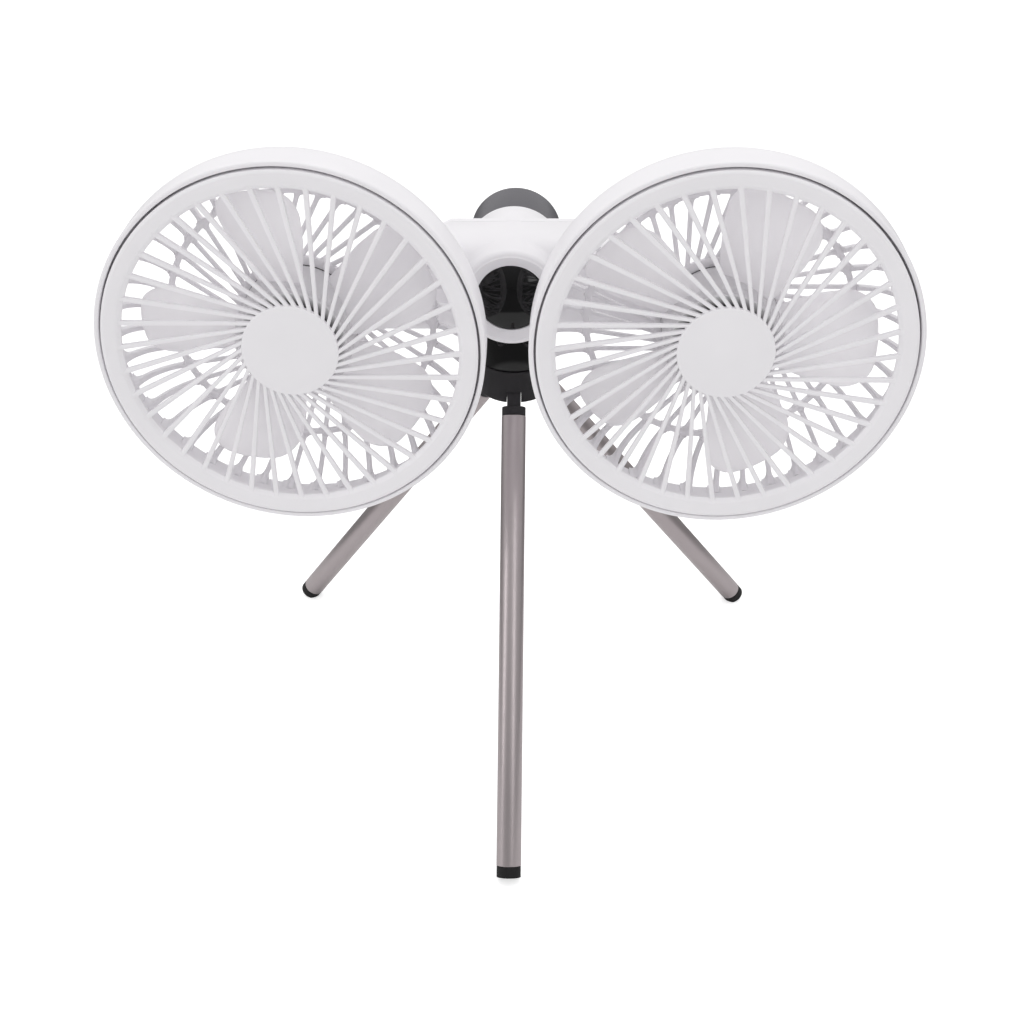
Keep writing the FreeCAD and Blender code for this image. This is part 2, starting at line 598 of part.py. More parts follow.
def front_grille():
    """Front ring with straight slanting spokes that run in under a plain middle disc."""
    ring_outer = HEAD_RADIUS - HEAD_WALL - RING_GAP
    front = HEAD_FRONT_Y - RING_PROUD
    back = front + RING_THICKNESS
    ring = turned_about_y([
        (GRILLE_OPENING, back), (ring_outer, back), (ring_outer, front + RING_EDGE),
        arc_about((ring_outer - RING_EDGE, front + RING_EDGE), RING_EDGE, 0, -90),
        (GRILLE_OPENING + RING_EDGE, front),
        arc_about((GRILLE_OPENING + RING_EDGE, front + RING_EDGE), RING_EDGE, -90, -180)])
    rim = Part.Wire(Part.makeCircle(GRILLE_OPENING + GRILLE_BITE, V(0, 0, 0), Y_AXIS))
    gaps = slot_wires(SPOKE_COUNT, DISC_RADIUS, GRILLE_OPENING + GRILLE_BITE / 2, -SPOKE_TANGENT,
                      SPOKE_INNER_WIDTH, SPOKE_OUTER_WIDTH)
    face = Part.Face([rim] + gaps)
    face.validate()
    plate = face.extrude(V(0, SPOKE_THICKNESS, 0))
    plate.translate(V(0, back - SPOKE_THICKNESS, 0))
    return ring.fuse(plate).removeSplitter()


def head_shell():
    """Drum housing with a ribbed rear guard, a motor boss and the tilt knuckle, moulded as one piece."""
    wall_end = HEAD_FRONT_Y + HEAD_STRAIGHT_WALL
    rear_outer = wall_end + HEAD_REAR_ROUND
    rear_inner = rear_outer - HEAD_WALL
    seat_y = HEAD_FRONT_Y - RING_PROUD + RING_THICKNESS + FACE_GAP
    lip_inner = HEAD_RADIUS - HEAD_WALL
    bore = lip_inner - RING_SEAT_STEP
    centre = (HEAD_RADIUS - HEAD_REAR_ROUND, wall_end)
    inner_round = bore - centre[0]
    shell = turned_about_y([
        (lip_inner, HEAD_FRONT_Y), (HEAD_RADIUS, HEAD_FRONT_Y), (HEAD_RADIUS, wall_end),
        arc_about(centre, HEAD_REAR_ROUND, 0, 90), (0.0, rear_outer), (0.0, rear_inner),
        (centre[0], rear_inner), (centre[0], wall_end + inner_round),
        arc_about(centre, inner_round, 90, 0), (bore, seat_y), (lip_inner, seat_y)])
    ring_half = GUARD_RING_WIDTH / 2
    gaps = slot_wires(SPOKE_COUNT, GUARD_HUB_RADIUS, GUARD_RING_RADIUS - ring_half, RIB_TANGENT,
                      RIB_WIDTH, RIB_WIDTH)
    gaps += slot_wires(SPOKE_COUNT, GUARD_RING_RADIUS + ring_half, GUARD_OUTER_RADIUS, RIB_TANGENT,
                       RIB_WIDTH, RIB_WIDTH)
    cutters = []
    for wire in gaps:
        cutter = Part.Face(wire).extrude(V(0, HEAD_REAR_ROUND + OVERCUT, 0))
        cutter.translate(V(0, wall_end, 0))
        cutters.append(cutter)
    shell = shell.cut(cutters)

    boss = cylinder(REAR_BOSS_RADIUS, V(0, rear_outer, 0), V(0, rear_outer + REAR_BOSS_THICKNESS, 0))
    half = KNUCKLE_HALF_WIDTH
    barrel = cylinder(KNUCKLE_RADIUS, V(-half, TILT_Y, 0), V(half, TILT_Y, 0))
    web = block(V(-half, rear_outer, -KNUCKLE_RADIUS), V(half, TILT_Y, KNUCKLE_RADIUS))
    shell = shell.fuse([boss, barrel, web]).removeSplitter()
    shell = shell.cut(motor_screw_holes(rear_outer))
    return shell


def motor_screw_seats(rear_outer):
    """Where the motor screws' heads sit, sunk flush in the rear boss."""
    seat_y = rear_outer + REAR_BOSS_THICKNESS - SCREW_HEAD_HEIGHT
    return [V(side * MOTOR_SCREW_OFFSET, seat_y, 0) for side in (-1, 1)]


def motor_screw_holes(rear_outer):
    holes = []
    for seat in motor_screw_seats(rear_outer):
        holes.append(cylinder(SCREW_RADIUS + SEAT_GAP, seat - V(0, MOTOR_SCREW_LENGTH + FACE_GAP, 0), seat))
        holes.append(cylinder(SCREW_HEAD_RADIUS + FACE_GAP, seat, seat + V(0, OVERCUT, 0)))
    return holes


def knuckle_bore(side):
    """Running bore for the tilt bolt, with a counterbore for its head on the outer end."""
    half = KNUCKLE_HALF_WIDTH
    bore = cylinder(TILT_BOLT_RADIUS + RUN_GAP, V(-half - OVERCUT, TILT_Y, 0), V(half + OVERCUT, TILT_Y, 0))
    under_head = half - TILT_HEAD_HEIGHT - FACE_GAP
    sink = cylinder(TILT_HEAD_RADIUS + PASS_GAP, V(under_head, TILT_Y, 0), V(half + OVERCUT, TILT_Y, 0))
    both = bore.fuse(sink)
    return both if side > 0 else both.mirror(V(0, 0, 0), X_AXIS)


def blade_section(radius, chord, pitch_deg, middle_y):
    """Thin cambered section of a blade, square to its radius; the blade stands along +X."""
    pitch = math.radians(pitch_deg)
    rise = BLADE_CAMBER * chord
    half_thick = BLADE_THICKNESS / 2

    def place(along, off):
        z = along * math.cos(pitch) - off * math.sin(pitch)
        y = along * math.sin(pitch) + off * math.cos(pitch)
        return V(radius, middle_y + y, z)

    front = [place(-chord / 2, -half_thick), place(0, -half_thick - rise), place(chord / 2, -half_thick)]
    back = [place(chord / 2, half_thick), place(0, half_thick - rise), place(-chord / 2, half_thick)]
    return Part.Wire([
        Part.Arc(front[0], front[1], front[2]).toShape(), Part.LineSegment(front[2], back[0]).toShape(),
        Part.Arc(back[0], back[1], back[2]).toShape(), Part.LineSegment(back[2], front[0]).toShape()])


def fan_rotor(hub_front, hub_rear, shaft_tip):
    """Hub cup that covers the motor, a shaft boss inside it, and broad twisted blades."""
    middle_y = HEAD_FRONT_Y + BLADE_BEHIND_FRONT
    root_radius = ROTOR_HUB_RADIUS - BLADE_ROOT_SINK
    middle_radius = (ROTOR_HUB_RADIUS + BLADE_TIP_RADIUS) / 2
    sections = [
        blade_section(root_radius, BLADE_ROOT[0], BLADE_ROOT[1], middle_y),
        blade_section(middle_radius, BLADE_MIDDLE[0], BLADE_MIDDLE[1], middle_y),
        blade_section(BLADE_TIP_RADIUS + BLADE_THICKNESS, BLADE_TIP[0], BLADE_TIP[1], middle_y)]
    blade = Part.makeLoft(sections, True, False)
    swept_end = V(0, HEAD_FRONT_Y + 2 * ROTOR_HUB_RADIUS, 0)
    swept = tube(BLADE_TIP_RADIUS, ROTOR_HUB_RADIUS - ROTOR_HUB_WALL / 2, V(0, HEAD_FRONT_Y, 0), swept_end)
    tip_half = BLADE_TIP[0] / 2 * math.cos(math.radians(BLADE_TIP[1]))
    outline = block(V(0, HEAD_FRONT_Y, -tip_half), V(BLADE_TIP_RADIUS, swept_end.y, tip_half))
    tip_edges = []
    for edge in outline.Edges:
        box = edge.BoundBox
        if box.XMin > BLADE_TIP_RADIUS / 2 and box.YLength > BLADE_CORNER:
            tip_edges.append(edge)
    blade = blade.common(swept).common(outline.makeFillet(BLADE_CORNER, tip_edges))
    inner = ROTOR_HUB_RADIUS - ROTOR_HUB_WALL
    inner_front = hub_front + ROTOR_HUB_WALL
    cup = turned_about_y([
        (0.0, hub_front), (ROTOR_HUB_RADIUS - ROTOR_HUB_EDGE, hub_front),
        arc_about((ROTOR_HUB_RADIUS - ROTOR_HUB_EDGE, hub_front + ROTOR_HUB_EDGE), ROTOR_HUB_EDGE, -90, 0),
        (ROTOR_HUB_RADIUS, hub_rear), (inner, hub_rear), (inner, inner_front),
        (ROTOR_BOSS_RADIUS, inner_front), (ROTOR_BOSS_RADIUS, shaft_tip + SHAFT_NOSE),
        (0.0, shaft_tip + SHAFT_NOSE)])
    blades = []
    for index in range(BLADE_COUNT):
        turned = blade.copy()
        turned.rotate(V(0, 0, 0), Y_AXIS, 360.0 * index / BLADE_COUNT)
        blades.append(turned)
    bore = cylinder(SHAFT_RADIUS + SEAT_GAP, V(0, shaft_tip - FACE_GAP, 0), V(0, hub_rear, 0))
    return cup.fuse(blades).removeSplitter().cut(bore)


def build_heads():
    rear_outer = HEAD_FRONT_Y + HEAD_STRAIGHT_WALL + HEAD_REAR_ROUND
    rear_inner = rear_outer - HEAD_WALL
    motor_front = rear_inner - MOTOR_LENGTH
    hub_rear = rear_inner - ROTOR_REAR_GAP
    hub_front = hub_rear - ROTOR_HUB_LENGTH
    shaft_tip = hub_front + ROTOR_HUB_WALL - FACE_GAP
    shaft_end = motor_front + SHAFT_TAIL

    shell = head_shell()
    grille = front_grille()
    rotor = fan_rotor(hub_front, hub_rear, shaft_tip)
    motor = cylinder(MOTOR_RADIUS, V(0, motor_front, 0), V(0, rear_inner, 0))
    front_rim = [edge for edge in motor.Edges if edge.BoundBox.YMax < motor_front + MOTOR_EDGE]
    motor = motor.makeFillet(MOTOR_EDGE, front_rim)
    shaft_bore = V(0, shaft_end + FACE_GAP, 0)
    motor = motor.cut(cylinder(SHAFT_RADIUS + RUN_GAP, V(0, motor_front - OVERCUT, 0), shaft_bore))
    motor = motor.cut(motor_screw_holes(rear_outer))
    shaft = cylinder(SHAFT_RADIUS, V(0, shaft_tip, 0), V(0, shaft_end, 0))
    screws = [screw(seat, V(0, -1, 0), MOTOR_SCREW_LENGTH) for seat in motor_screw_seats(rear_outer)]

    for side, name in ((-1, "left"), (1, "right")):
        place = V(side * HEAD_HALF_SPACING, 0, BEAM_Z)
        PIECES["head_shell_" + name] = moved(shell.cut(knuckle_bore(side)), place)
        PIECES["front_grille_" + name] = moved(grille, place)
        parked = rotor.copy()
        parked.rotate(V(0, 0, 0), Y_AXIS, BLADE_START[name])
        PIECES["fan_rotor_" + name] = moved(parked, place)
        PIECES["motor_" + name] = moved(motor, place)
        PIECES["motor_shaft_" + name] = moved(shaft, place)
        PIECES["motor_screws_" + name] = moved(Part.Compound(screws), place)


build_tripod()
build_beam()
build_heads()

whole = Part.Compound(list(PIECES.values())).BoundBox
TO_ORIGIN = V(-(whole.XMin + whole.XMax) / 2, -(whole.YMin + whole.YMax) / 2, 0)
os.makedirs("parts", exist_ok=True)
for node, shape in sorted(PIECES.items()):
    placed = moved(shape, TO_ORIGIN)
    placed.exportStep("parts/" + node + ".step")
    state = "" if placed.isValid() else " INVALID"
    print(node, len(placed.Solids), "solids", round(placed.Volume / 1000, 2), "cm3" + state)
print("tripod axis y", round(TO_ORIGIN.y, 4), "leg pivot z", round(LEG_PIVOT_Z, 4))
print("beam z", round(BEAM_Z, 4), "tilt y", round(TILT_Y + TO_ORIGIN.y, 4))
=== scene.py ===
"""Looks of the dual-head desk fan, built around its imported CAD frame.

Metres, in the CAD frame: +Z up, the fan heads face -Y. The sections follow the fan as it is put together,
from the tripod up to the heads, and each helper stands in the section that first needs it.
"""
import json
import math

import bmesh
import bpy
from mathutils import Matrix, Vector


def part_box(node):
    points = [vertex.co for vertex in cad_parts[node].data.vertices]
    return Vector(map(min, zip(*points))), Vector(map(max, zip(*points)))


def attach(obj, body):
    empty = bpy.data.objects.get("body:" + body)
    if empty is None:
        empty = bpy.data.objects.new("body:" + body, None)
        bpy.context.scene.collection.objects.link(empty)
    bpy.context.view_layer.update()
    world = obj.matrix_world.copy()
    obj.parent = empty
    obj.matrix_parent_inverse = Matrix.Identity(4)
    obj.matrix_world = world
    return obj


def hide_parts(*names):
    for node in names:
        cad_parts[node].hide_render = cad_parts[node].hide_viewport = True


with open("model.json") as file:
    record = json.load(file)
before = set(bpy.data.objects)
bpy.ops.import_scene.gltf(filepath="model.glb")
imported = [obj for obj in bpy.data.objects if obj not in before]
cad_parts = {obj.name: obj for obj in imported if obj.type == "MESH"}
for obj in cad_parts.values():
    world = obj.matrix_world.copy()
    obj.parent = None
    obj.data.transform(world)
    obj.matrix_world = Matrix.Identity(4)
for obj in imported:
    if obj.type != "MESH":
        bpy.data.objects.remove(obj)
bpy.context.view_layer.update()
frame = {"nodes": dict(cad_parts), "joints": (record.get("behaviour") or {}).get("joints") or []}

# Tripod hub: one moulding of glass-filled nylon, matte black, with a slot for each leg.
# Its edges are slightly rounded, as the mould leaves them; the neck turns on its flat top.
MM = 0.001
hub_edge = 0.45 * MM
crease_angle = math.radians(32)


def placed(name, data):
    """A new object in the scene that holds this mesh, lamp or camera."""
    thing = bpy.data.objects.new(name, data)
    bpy.context.scene.collection.objects.link(thing)
    return thing


def as_mesh(body, name):
    """An edited body as a mesh of that name."""
    mesh = bpy.data.meshes.new(name)
    body.to_mesh(mesh)
    body.free()
    return mesh


def applied(holder):
    """The mesh that an object's modifiers make; the object itself is removed."""
    mesh = bpy.data.meshes.new_from_object(holder.evaluated_get(bpy.context.evaluated_depsgraph_get()))
    bpy.data.objects.remove(holder)
    return mesh


def smooth(mesh, crease=crease_angle):
    """Soft shading over curves, with a crisp line left where faces meet at a real edge."""
    mesh.shade_smooth()
    mesh.set_sharp_from_angle(angle=crease)
    return mesh


def moulded_copy(node, edge_round):
    """The node's CAD solid as one closed mesh, with its sharp edges rounded as in a mould."""
    weld_distance = 0.002 * MM
    flat_angle = math.radians(0.6)
    body = bmesh.new()
    body.from_mesh(frame["nodes"][node].data)
    bmesh.ops.remove_doubles(body, verts=body.verts, dist=weld_distance)
    bmesh.ops.dissolve_limit(body, angle_limit=flat_angle, verts=body.verts, edges=body.edges)
    mesh = as_mesh(body, node + "_moulded")
    if "custom_normal" in mesh.attributes:
        mesh.attributes.remove(mesh.attributes["custom_normal"])
    blank = placed(node + "_blank", mesh)
    bevel = blank.modifiers.new("mould edge", "BEVEL")
    bevel.width = edge_round
    bevel.segments = 3
    bevel.limit_method = "ANGLE"
    bevel.angle_limit = crease_angle
    return smooth(applied(blank))


def finish_piece(name, mesh, material, body, slot, *nodes):
    """A finished piece at the origin: its material, the body it rides on and the nodes it stands for."""
    mesh.name = name
    mesh.materials.clear()
    mesh.materials.append(material)
    piece = placed(name, mesh)
    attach(piece, body)
    if nodes:
        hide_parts(*nodes)


def feed(tree, socket, value):
    """Give a node's input a value, or the output of another node."""
    if isinstance(value, bpy.types.NodeSocket):
        tree.links.new(value, socket)
    else:
        socket.default_value = value


def linked(tree, kind, operation=None, result=0, **inputs):
    """A node fed with values or other nodes' outputs, by the input's label or, as _0, by its number.
    Returns one of its outputs."""
    node = tree.nodes.new(kind)
    if operation:
        node.operation = operation
    for label, value in inputs.items():
        by_number = label[1:].isdigit()
        feed(tree, node.inputs[int(label[1:]) if by_number else label.replace("_", " ")], value)
    return node.outputs[result]


def colour_between(tree, share, first, second):
    """A colour mixed from two colours by a share that varies over the surface."""
    node = tree.nodes.new("ShaderNodeMix")
    node.data_type = "RGBA"
    feed(tree, node.inputs["Factor"], share)
    feed(tree, node.inputs["A"], first)
    feed(tree, node.inputs["B"], second)
    return node.outputs["Result"]


def moulded_plastic(name, colour, roughness, grain_size, grain_depth, specular=0.5):
    """Moulded plastic: an even colour with faint flow mottling and the fine grain of the mould's face."""
    mottle_scale = 45
    darkest = [0.965 * part for part in colour]
    lightest = [1.02 * part for part in colour]
    smoothest = 0.88 * roughness
    roughest = 1.12 * roughness
    material = bpy.data.materials.new(name)
    material.use_nodes = True
    tree = material.node_tree
    shader = tree.nodes["Principled BSDF"].inputs
    place = linked(tree, "ShaderNodeTexCoord", result="Object")
    mottle = linked(tree, "ShaderNodeTexNoise", Vector=place, Scale=mottle_scale, Detail=3)
    grain = linked(tree, "ShaderNodeTexNoise", Vector=place, Scale=1 / grain_size, Detail=2)
    polish = linked(tree, "ShaderNodeMapRange", Value=grain, From_Min=0.3, From_Max=0.7,
                    To_Min=smoothest, To_Max=roughest)
    relief = linked(tree, "ShaderNodeBump", Height=grain, Distance=grain_depth, Strength=0.5)
    feed(tree, shader["Base Color"], colour_between(tree, mottle, (*darkest, 1), (*lightest, 1)))
    feed(tree, shader["Roughness"], polish)
    feed(tree, shader["Normal"], relief)
    feed(tree, shader["Specular IOR Level"], specular)
    return material


black_nylon = moulded_plastic("black_nylon", (0.021, 0.019, 0.022), roughness=0.5, grain_size=0.45 * MM,
                              grain_depth=0.05 * MM, specular=0.35)
finish_piece("hub", moulded_copy("tripod_hub", hub_edge), black_nylon,
             "tripod_base", "matte_black", "tripod_hub")

# Tripod pins, swivel bolt and washer: plain zinc-plated and nylon fasteners, mostly out of sight.
# They keep their CAD shapes and take a metal or nylon finish.
def metal(name, colour, roughness, grain_size, grain_depth):
    """Plated, lacquered or blasted metal, with the grain and mottling of its surface."""
    material = moulded_plastic(name, colour, roughness, grain_size, grain_depth)
    material.node_tree.nodes["Principled BSDF"].inputs["Metallic"].default_value = 1
    return material


def dress(material, *nodes):
    """Give CAD nodes that keep their shape their finish."""
    for node in nodes:
        mesh = frame["nodes"][node].data
        mesh.materials.clear()
        mesh.materials.append(material)


zinc_steel = metal("zinc_steel", (0.56, 0.56, 0.57), roughness=0.32, grain_size=0.8 * MM,
                   grain_depth=0.01 * MM)
black_washer = moulded_plastic("black_washer", (0.05, 0.05, 0.052), roughness=0.5, grain_size=0.5 * MM,
                               grain_depth=0.02 * MM)
dress(zinc_steel, "leg_pivot_pins", "swivel_bolt")
dress(black_washer, "swivel_washer")

# Legs: gunmetal tube of blasted and anodised aluminium, pressed onto a black nylon fitting that is pinned in
# the hub, with a rubber plug at the foot. The fitting's collar is nearly as wide as the tube.
hub_low, hub_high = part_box("tripod_hub")
hub_centre = (hub_low + hub_high) / 2
joints = {joint["name"]: joint for joint in frame["joints"]}
tube_radius = 5.5 * MM
tube_wall = 0.8 * MM
tube_bore = tube_radius - tube_wall
tube_start = 13.8 * MM
tube_end = 215.7 * MM
tube_edge = 0.35 * MM
bore_edge = 0.2 * MM
collar_radius = 5.4 * MM
collar_bore = tube_bore - 0.3 * MM
collar_top = 9.7 * MM
collar_top_edge = 0.3 * MM
collar_foot_edge = 0.15 * MM
fitting_edge = 0.3 * MM
foot_edge = 0.8 * MM


def turned(profile, steps=96, closed=False, origin=(0, 0, 0), axis=(0, 1, 0)):
    """A mesh turned about an axis from (radius, distance along the axis) points, with a UV map in turns
    and metres along the profile. Points on the axis close the shape; a closed profile makes a ring."""
    on_axis = 1e-7
    origin, axis = Vector(origin), Vector(axis).normalized()
    side = axis.orthogonal().normalized()
    other = axis.cross(side)
    body = bmesh.new()
    uv = body.loops.layers.uv.new("UVMap")
    rows = []
    for radius, along in profile:
        middle = origin + axis * along
        if radius < on_axis:
            rows.append([body.verts.new(middle)])
            continue
        row = []
        for step in range(steps):
            turn = 2 * math.pi * step / steps
            row.append(body.verts.new(middle + (side * math.cos(turn) + other * math.sin(turn)) * radius))
        rows.append(row)
    travelled = [0.0]
    for (radius, along), (next_radius, next_along) in zip(profile, profile[1:] + profile[:1]):
        travelled.append(travelled[-1] + math.hypot(next_radius - radius, next_along - along))
    for index in range(len(rows) if closed else len(rows) - 1):
        low, high = rows[index], rows[(index + 1) % len(rows)]
        for step in range(steps):
            after = (step + 1) % steps
            if len(low) == 1:
                corners = [(low[0], step + 0.5, 0), (high[after], step + 1, 1), (high[step], step, 1)]
            elif len(high) == 1:
                corners = [(low[step], step, 0), (low[after], step + 1, 0), (high[0], step + 0.5, 1)]
            else:
                corners = [(low[step], step, 0), (low[after], step + 1, 0),
                           (high[after], step + 1, 1), (high[step], step, 1)]
            face = body.faces.new([corner[0] for corner in corners])
            for loop, (_, turns, row_after) in zip(face.loops, corners):
                loop[uv].uv = (turns / steps, travelled[index + row_after])
    bmesh.ops.recalc_face_normals(body, faces=body.faces)
    return smooth(as_mesh(body, "turned"))


def rounded(corners, closed=False, steps=6):
    """Profile points in which each corner (radius, along, round) becomes an arc of that round."""
    points = []
    for index, (radius, along, fillet) in enumerate(corners):
        here = Vector((radius, along))
        at_end = not closed and index in (0, len(corners) - 1)
        if fillet <= 0 or at_end:
            points.append((radius, along))
            continue
        before = (Vector(corners[index - 1][:2]) - here).normalized()
        after = (Vector(corners[(index + 1) % len(corners)][:2]) - here).normalized()
        half_angle = before.angle(after) / 2
        centre = here + (before + after).normalized() * fillet / math.sin(half_angle)
        start = here + before * fillet / math.tan(half_angle) - centre
        end = here + after * fillet / math.tan(half_angle) - centre
        start_turn = math.atan2(start.y, start.x)
        sweep = math.atan2(end.y, end.x) - start_turn
        sweep = (sweep + math.pi) % (2 * math.pi) - math.pi
        for step in range(steps + 1):
            turn = start_turn + sweep * step / steps
            points.append((centre.x + fillet * math.cos(turn), centre.y + fillet * math.sin(turn)))
    return points


def joined(meshes, offset=(0, 0, 0)):
    """Several meshes as one, moved to its place."""
    crease = math.radians(38)
    body = bmesh.new()
    for mesh in meshes:
        body.from_mesh(mesh)
    bmesh.ops.translate(body, verts=body.verts, vec=offset)
    return smooth(as_mesh(body, "joined"), crease)


gunmetal = metal("gunmetal_tube", (0.505, 0.453, 0.461), roughness=0.40, grain_size=0.4 * MM,
                 grain_depth=0.06 * MM)
foot_rubber = moulded_plastic("foot_rubber", (0.011, 0.0105, 0.011), roughness=0.62, grain_size=0.6 * MM,
                              grain_depth=0.08 * MM, specular=0.25)
tube_profile = rounded([
    (tube_bore, tube_start, bore_edge), (tube_radius, tube_start, tube_edge),
    (tube_radius, tube_end, tube_edge), (tube_bore, tube_end, bore_edge)], closed=True, steps=3)
collar_profile = rounded([
    (collar_bore, collar_top, 0), (collar_radius, collar_top, collar_top_edge),
    (collar_radius, tube_start, collar_foot_edge), (collar_bore, tube_start, 0)], closed=True, steps=3)
for leg in ("front", "rear_left", "rear_right"):
    pivot = Vector(joints[leg + "_leg_fold"]["pos_m"])
    splay = math.radians(joints[leg + "_leg_fold"]["range_deg"][1])
    outward = (pivot - Vector((hub_centre.x, hub_centre.y, pivot.z))).normalized()
    down_leg = outward * math.sin(splay) - Vector((0, 0, math.cos(splay)))
    tube = turned(tube_profile, 64, closed=True, origin=pivot, axis=down_leg)
    collar = turned(collar_profile, 64, closed=True, origin=pivot, axis=down_leg)
    fitting = joined([moulded_copy("leg_fitting_" + leg, fitting_edge), collar])
    foot = moulded_copy("foot_cap_" + leg, foot_edge)
    finish_piece("tube_" + leg, tube, gunmetal, leg + "_leg", "gunmetal_aluminium", "leg_tube_" + leg)
    finish_piece("fitting_" + leg, fitting, black_nylon, leg + "_leg", "matte_black", "leg_fitting_" + leg)
    finish_piece("foot_" + leg, foot, foot_rubber, leg + "_leg", "black_rubber", "foot_cap_" + leg)

# Neck: polished black plastic column between the tripod and the beam, shaped to the pod's round underside.
# Two screws from inside the pod hold it.
neck_edge = 0.4 * MM
piano_black = moulded_plastic("piano_black", (0.0015, 0.0015, 0.0018), roughness=0.06, grain_size=2.5 * MM,
                              grain_depth=0.01 * MM, specular=0.4)
finish_piece("neck_column", moulded_copy("neck", neck_edge), piano_black, "beam", "gloss_black", "neck")
dress(zinc_steel, "neck_screws")

# Beam: front and rear shells of satin white ABS that meet along a fine parting line, with a round pod in the
# middle and an arm to each head. The pod has a dish in front; screws sunk in the back hold the shells.
button_low, button_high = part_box("control_button")
pod_axis = Vector((0, 0, (button_low.z + button_high.z) / 2))
pod_radius = 21.4 * MM
pod_front = button_low.y + 2.2 * MM
beam_face = hub_centre.y - 30 * MM
beam_half_height = 21 * MM
beam_corner = 9 * MM
shell_edge = 0.35 * MM
bead_round = 4.5 * MM
bead_sink = 0.3 * MM
bead_steps = 48
bead_shares = (0, 0.15, 0.3, 0.5, 0.7, 0.85, 1)
dish_radius = 18.9 * MM


def lofted(rows, name):
    """A closed mesh over rows of points, each row a ring, with both ends capped."""
    body = bmesh.new()
    rings = [[body.verts.new(point) for point in row] for row in rows]
    for ring, next_ring in zip(rings, rings[1:]):
        for index in range(len(ring)):
            after = (index + 1) % len(ring)
            body.faces.new((ring[index], ring[after], next_ring[after], next_ring[index]))
    body.faces.new(rings[0])
    body.faces.new(rings[-1])
    bmesh.ops.recalc_face_normals(body, faces=body.faces)
    return as_mesh(body, name)


def blend_bead(side):
    """Bead in the corner between the round pod and one side of the beam's front, hollowed as by a ball."""
    rows = []
    reach = pod_radius + bead_round
    first = math.acos((beam_half_height + bead_round) / reach)
    for step in range(bead_steps + 1):
        turn = first + (math.pi - 2 * first) * step / bead_steps
        ball = Vector((side * reach * math.sin(turn), beam_face - bead_round, reach * math.cos(turn)))
        off_beam = Vector((0, -1, 0))
        rise = abs(ball.z) - (beam_half_height - beam_corner)
        if rise > 0:
            ball.y = beam_face + beam_corner - math.sqrt((beam_corner + bead_round) ** 2 - rise ** 2)
            off_beam = Vector((0, ball.y - beam_face - beam_corner, math.copysign(rise, ball.z)))
            off_beam.normalize()
        to_pod, to_beam = Vector((-ball.x, 0, -ball.z)).normalized(), -off_beam
        row = [ball + to_pod.slerp(to_beam, share) * bead_round for share in bead_shares]
        half_angle = to_pod.angle(to_beam) / 2
        into_corner = bead_round / math.cos(half_angle) + bead_sink
        row.append(ball + (to_pod + to_beam).normalized() * into_corner)
        rows.append([point + pod_axis for point in row])
    return lofted(rows, "bead")


white_abs = moulded_plastic("white_abs", (0.930, 0.912, 0.938), roughness=0.42, grain_size=0.5 * MM,
                            grain_depth=0.03 * MM)
rim_outer_foot = (dish_radius + 2.1 * MM, pod_front + 1.4 * MM)
rim_crest = (dish_radius, pod_front - 0.35 * MM)
rim_inner_foot = (dish_radius - 3.6 * MM, pod_front + 1.05 * MM)
rim_hidden_inner = (dish_radius - 0.9 * MM, pod_front + 1.6 * MM)
rim_hidden_outer = (dish_radius + 1.6 * MM, pod_front + 2.2 * MM)
dish_rim = turned([rim_outer_foot, rim_crest, rim_inner_foot, rim_hidden_inner, rim_hidden_outer], 128,
                  closed=True, origin=pod_axis)
front_shell = joined([
    moulded_copy("beam_front_shell", shell_edge), blend_bead(-1), blend_bead(1), dish_rim])
rear_shell = moulded_copy("beam_rear_shell", shell_edge)
finish_piece("white_front_shell", front_shell, white_abs, "beam", "white_plastic", "beam_front_shell")
finish_piece("white_rear_shell", rear_shell, white_abs, "beam", "white_plastic", "beam_rear_shell")
dress(zinc_steel, "shell_screws", "usb_c_socket", "tilt_bolt_left", "tilt_bolt_right")
dress(black_washer, "tilt_washer_left", "tilt_washer_right")
board_green = moulded_plastic("board_green", (0.03, 0.18, 0.08), roughness=0.45, grain_size=0.6 * MM,
                              grain_depth=0.02 * MM)
cell_wrap = moulded_plastic("cell_wrap", (0.10, 0.22, 0.45), roughness=0.3, grain_size=2 * MM,
                            grain_depth=0.01 * MM)
dress(board_green, "control_board")
dress(cell_wrap, "battery_cells")

# Control button: polished black dome in the pod's dish, with a small round at its rim and a flange behind.
# It is pressed straight in against the switch on the board.
button_radius = 14.4 * MM
button_crown = 3.4 * MM
button_rim = button_low.y + button_crown
rim_round = 0.5 * MM
flange_round = 0.2 * MM
switch_clearance = 0.05 * MM
flange_back = button_high.y - switch_clearance
flange_front = button_high.y - 1.1 * MM
flange_radius = (button_high.x - button_low.x) / 2
crown_radius = (button_radius ** 2 + button_crown ** 2) / (2 * button_crown)
crown_centre = button_low.y + crown_radius
dome_steps = 20
dome_share = 0.97
dome_reach = math.asin(button_radius / crown_radius) * dome_share
button_profile = []
for step in range(dome_steps + 1):
    turn = dome_reach * step / dome_steps
    button_profile.append((crown_radius * math.sin(turn), crown_centre - crown_radius * math.cos(turn)))
button_profile += rounded([
    (*button_profile[-1], 0), (button_radius, button_rim, rim_round), (button_radius, flange_front, 0),
    (flange_radius, flange_front, flange_round), (flange_radius, flange_back, flange_round),
    (0, flange_back, 0)])[1:]
finish_piece("button_dome", turned(button_profile, 128, origin=pod_axis), piano_black,
             "button", "gloss_black", "control_button")

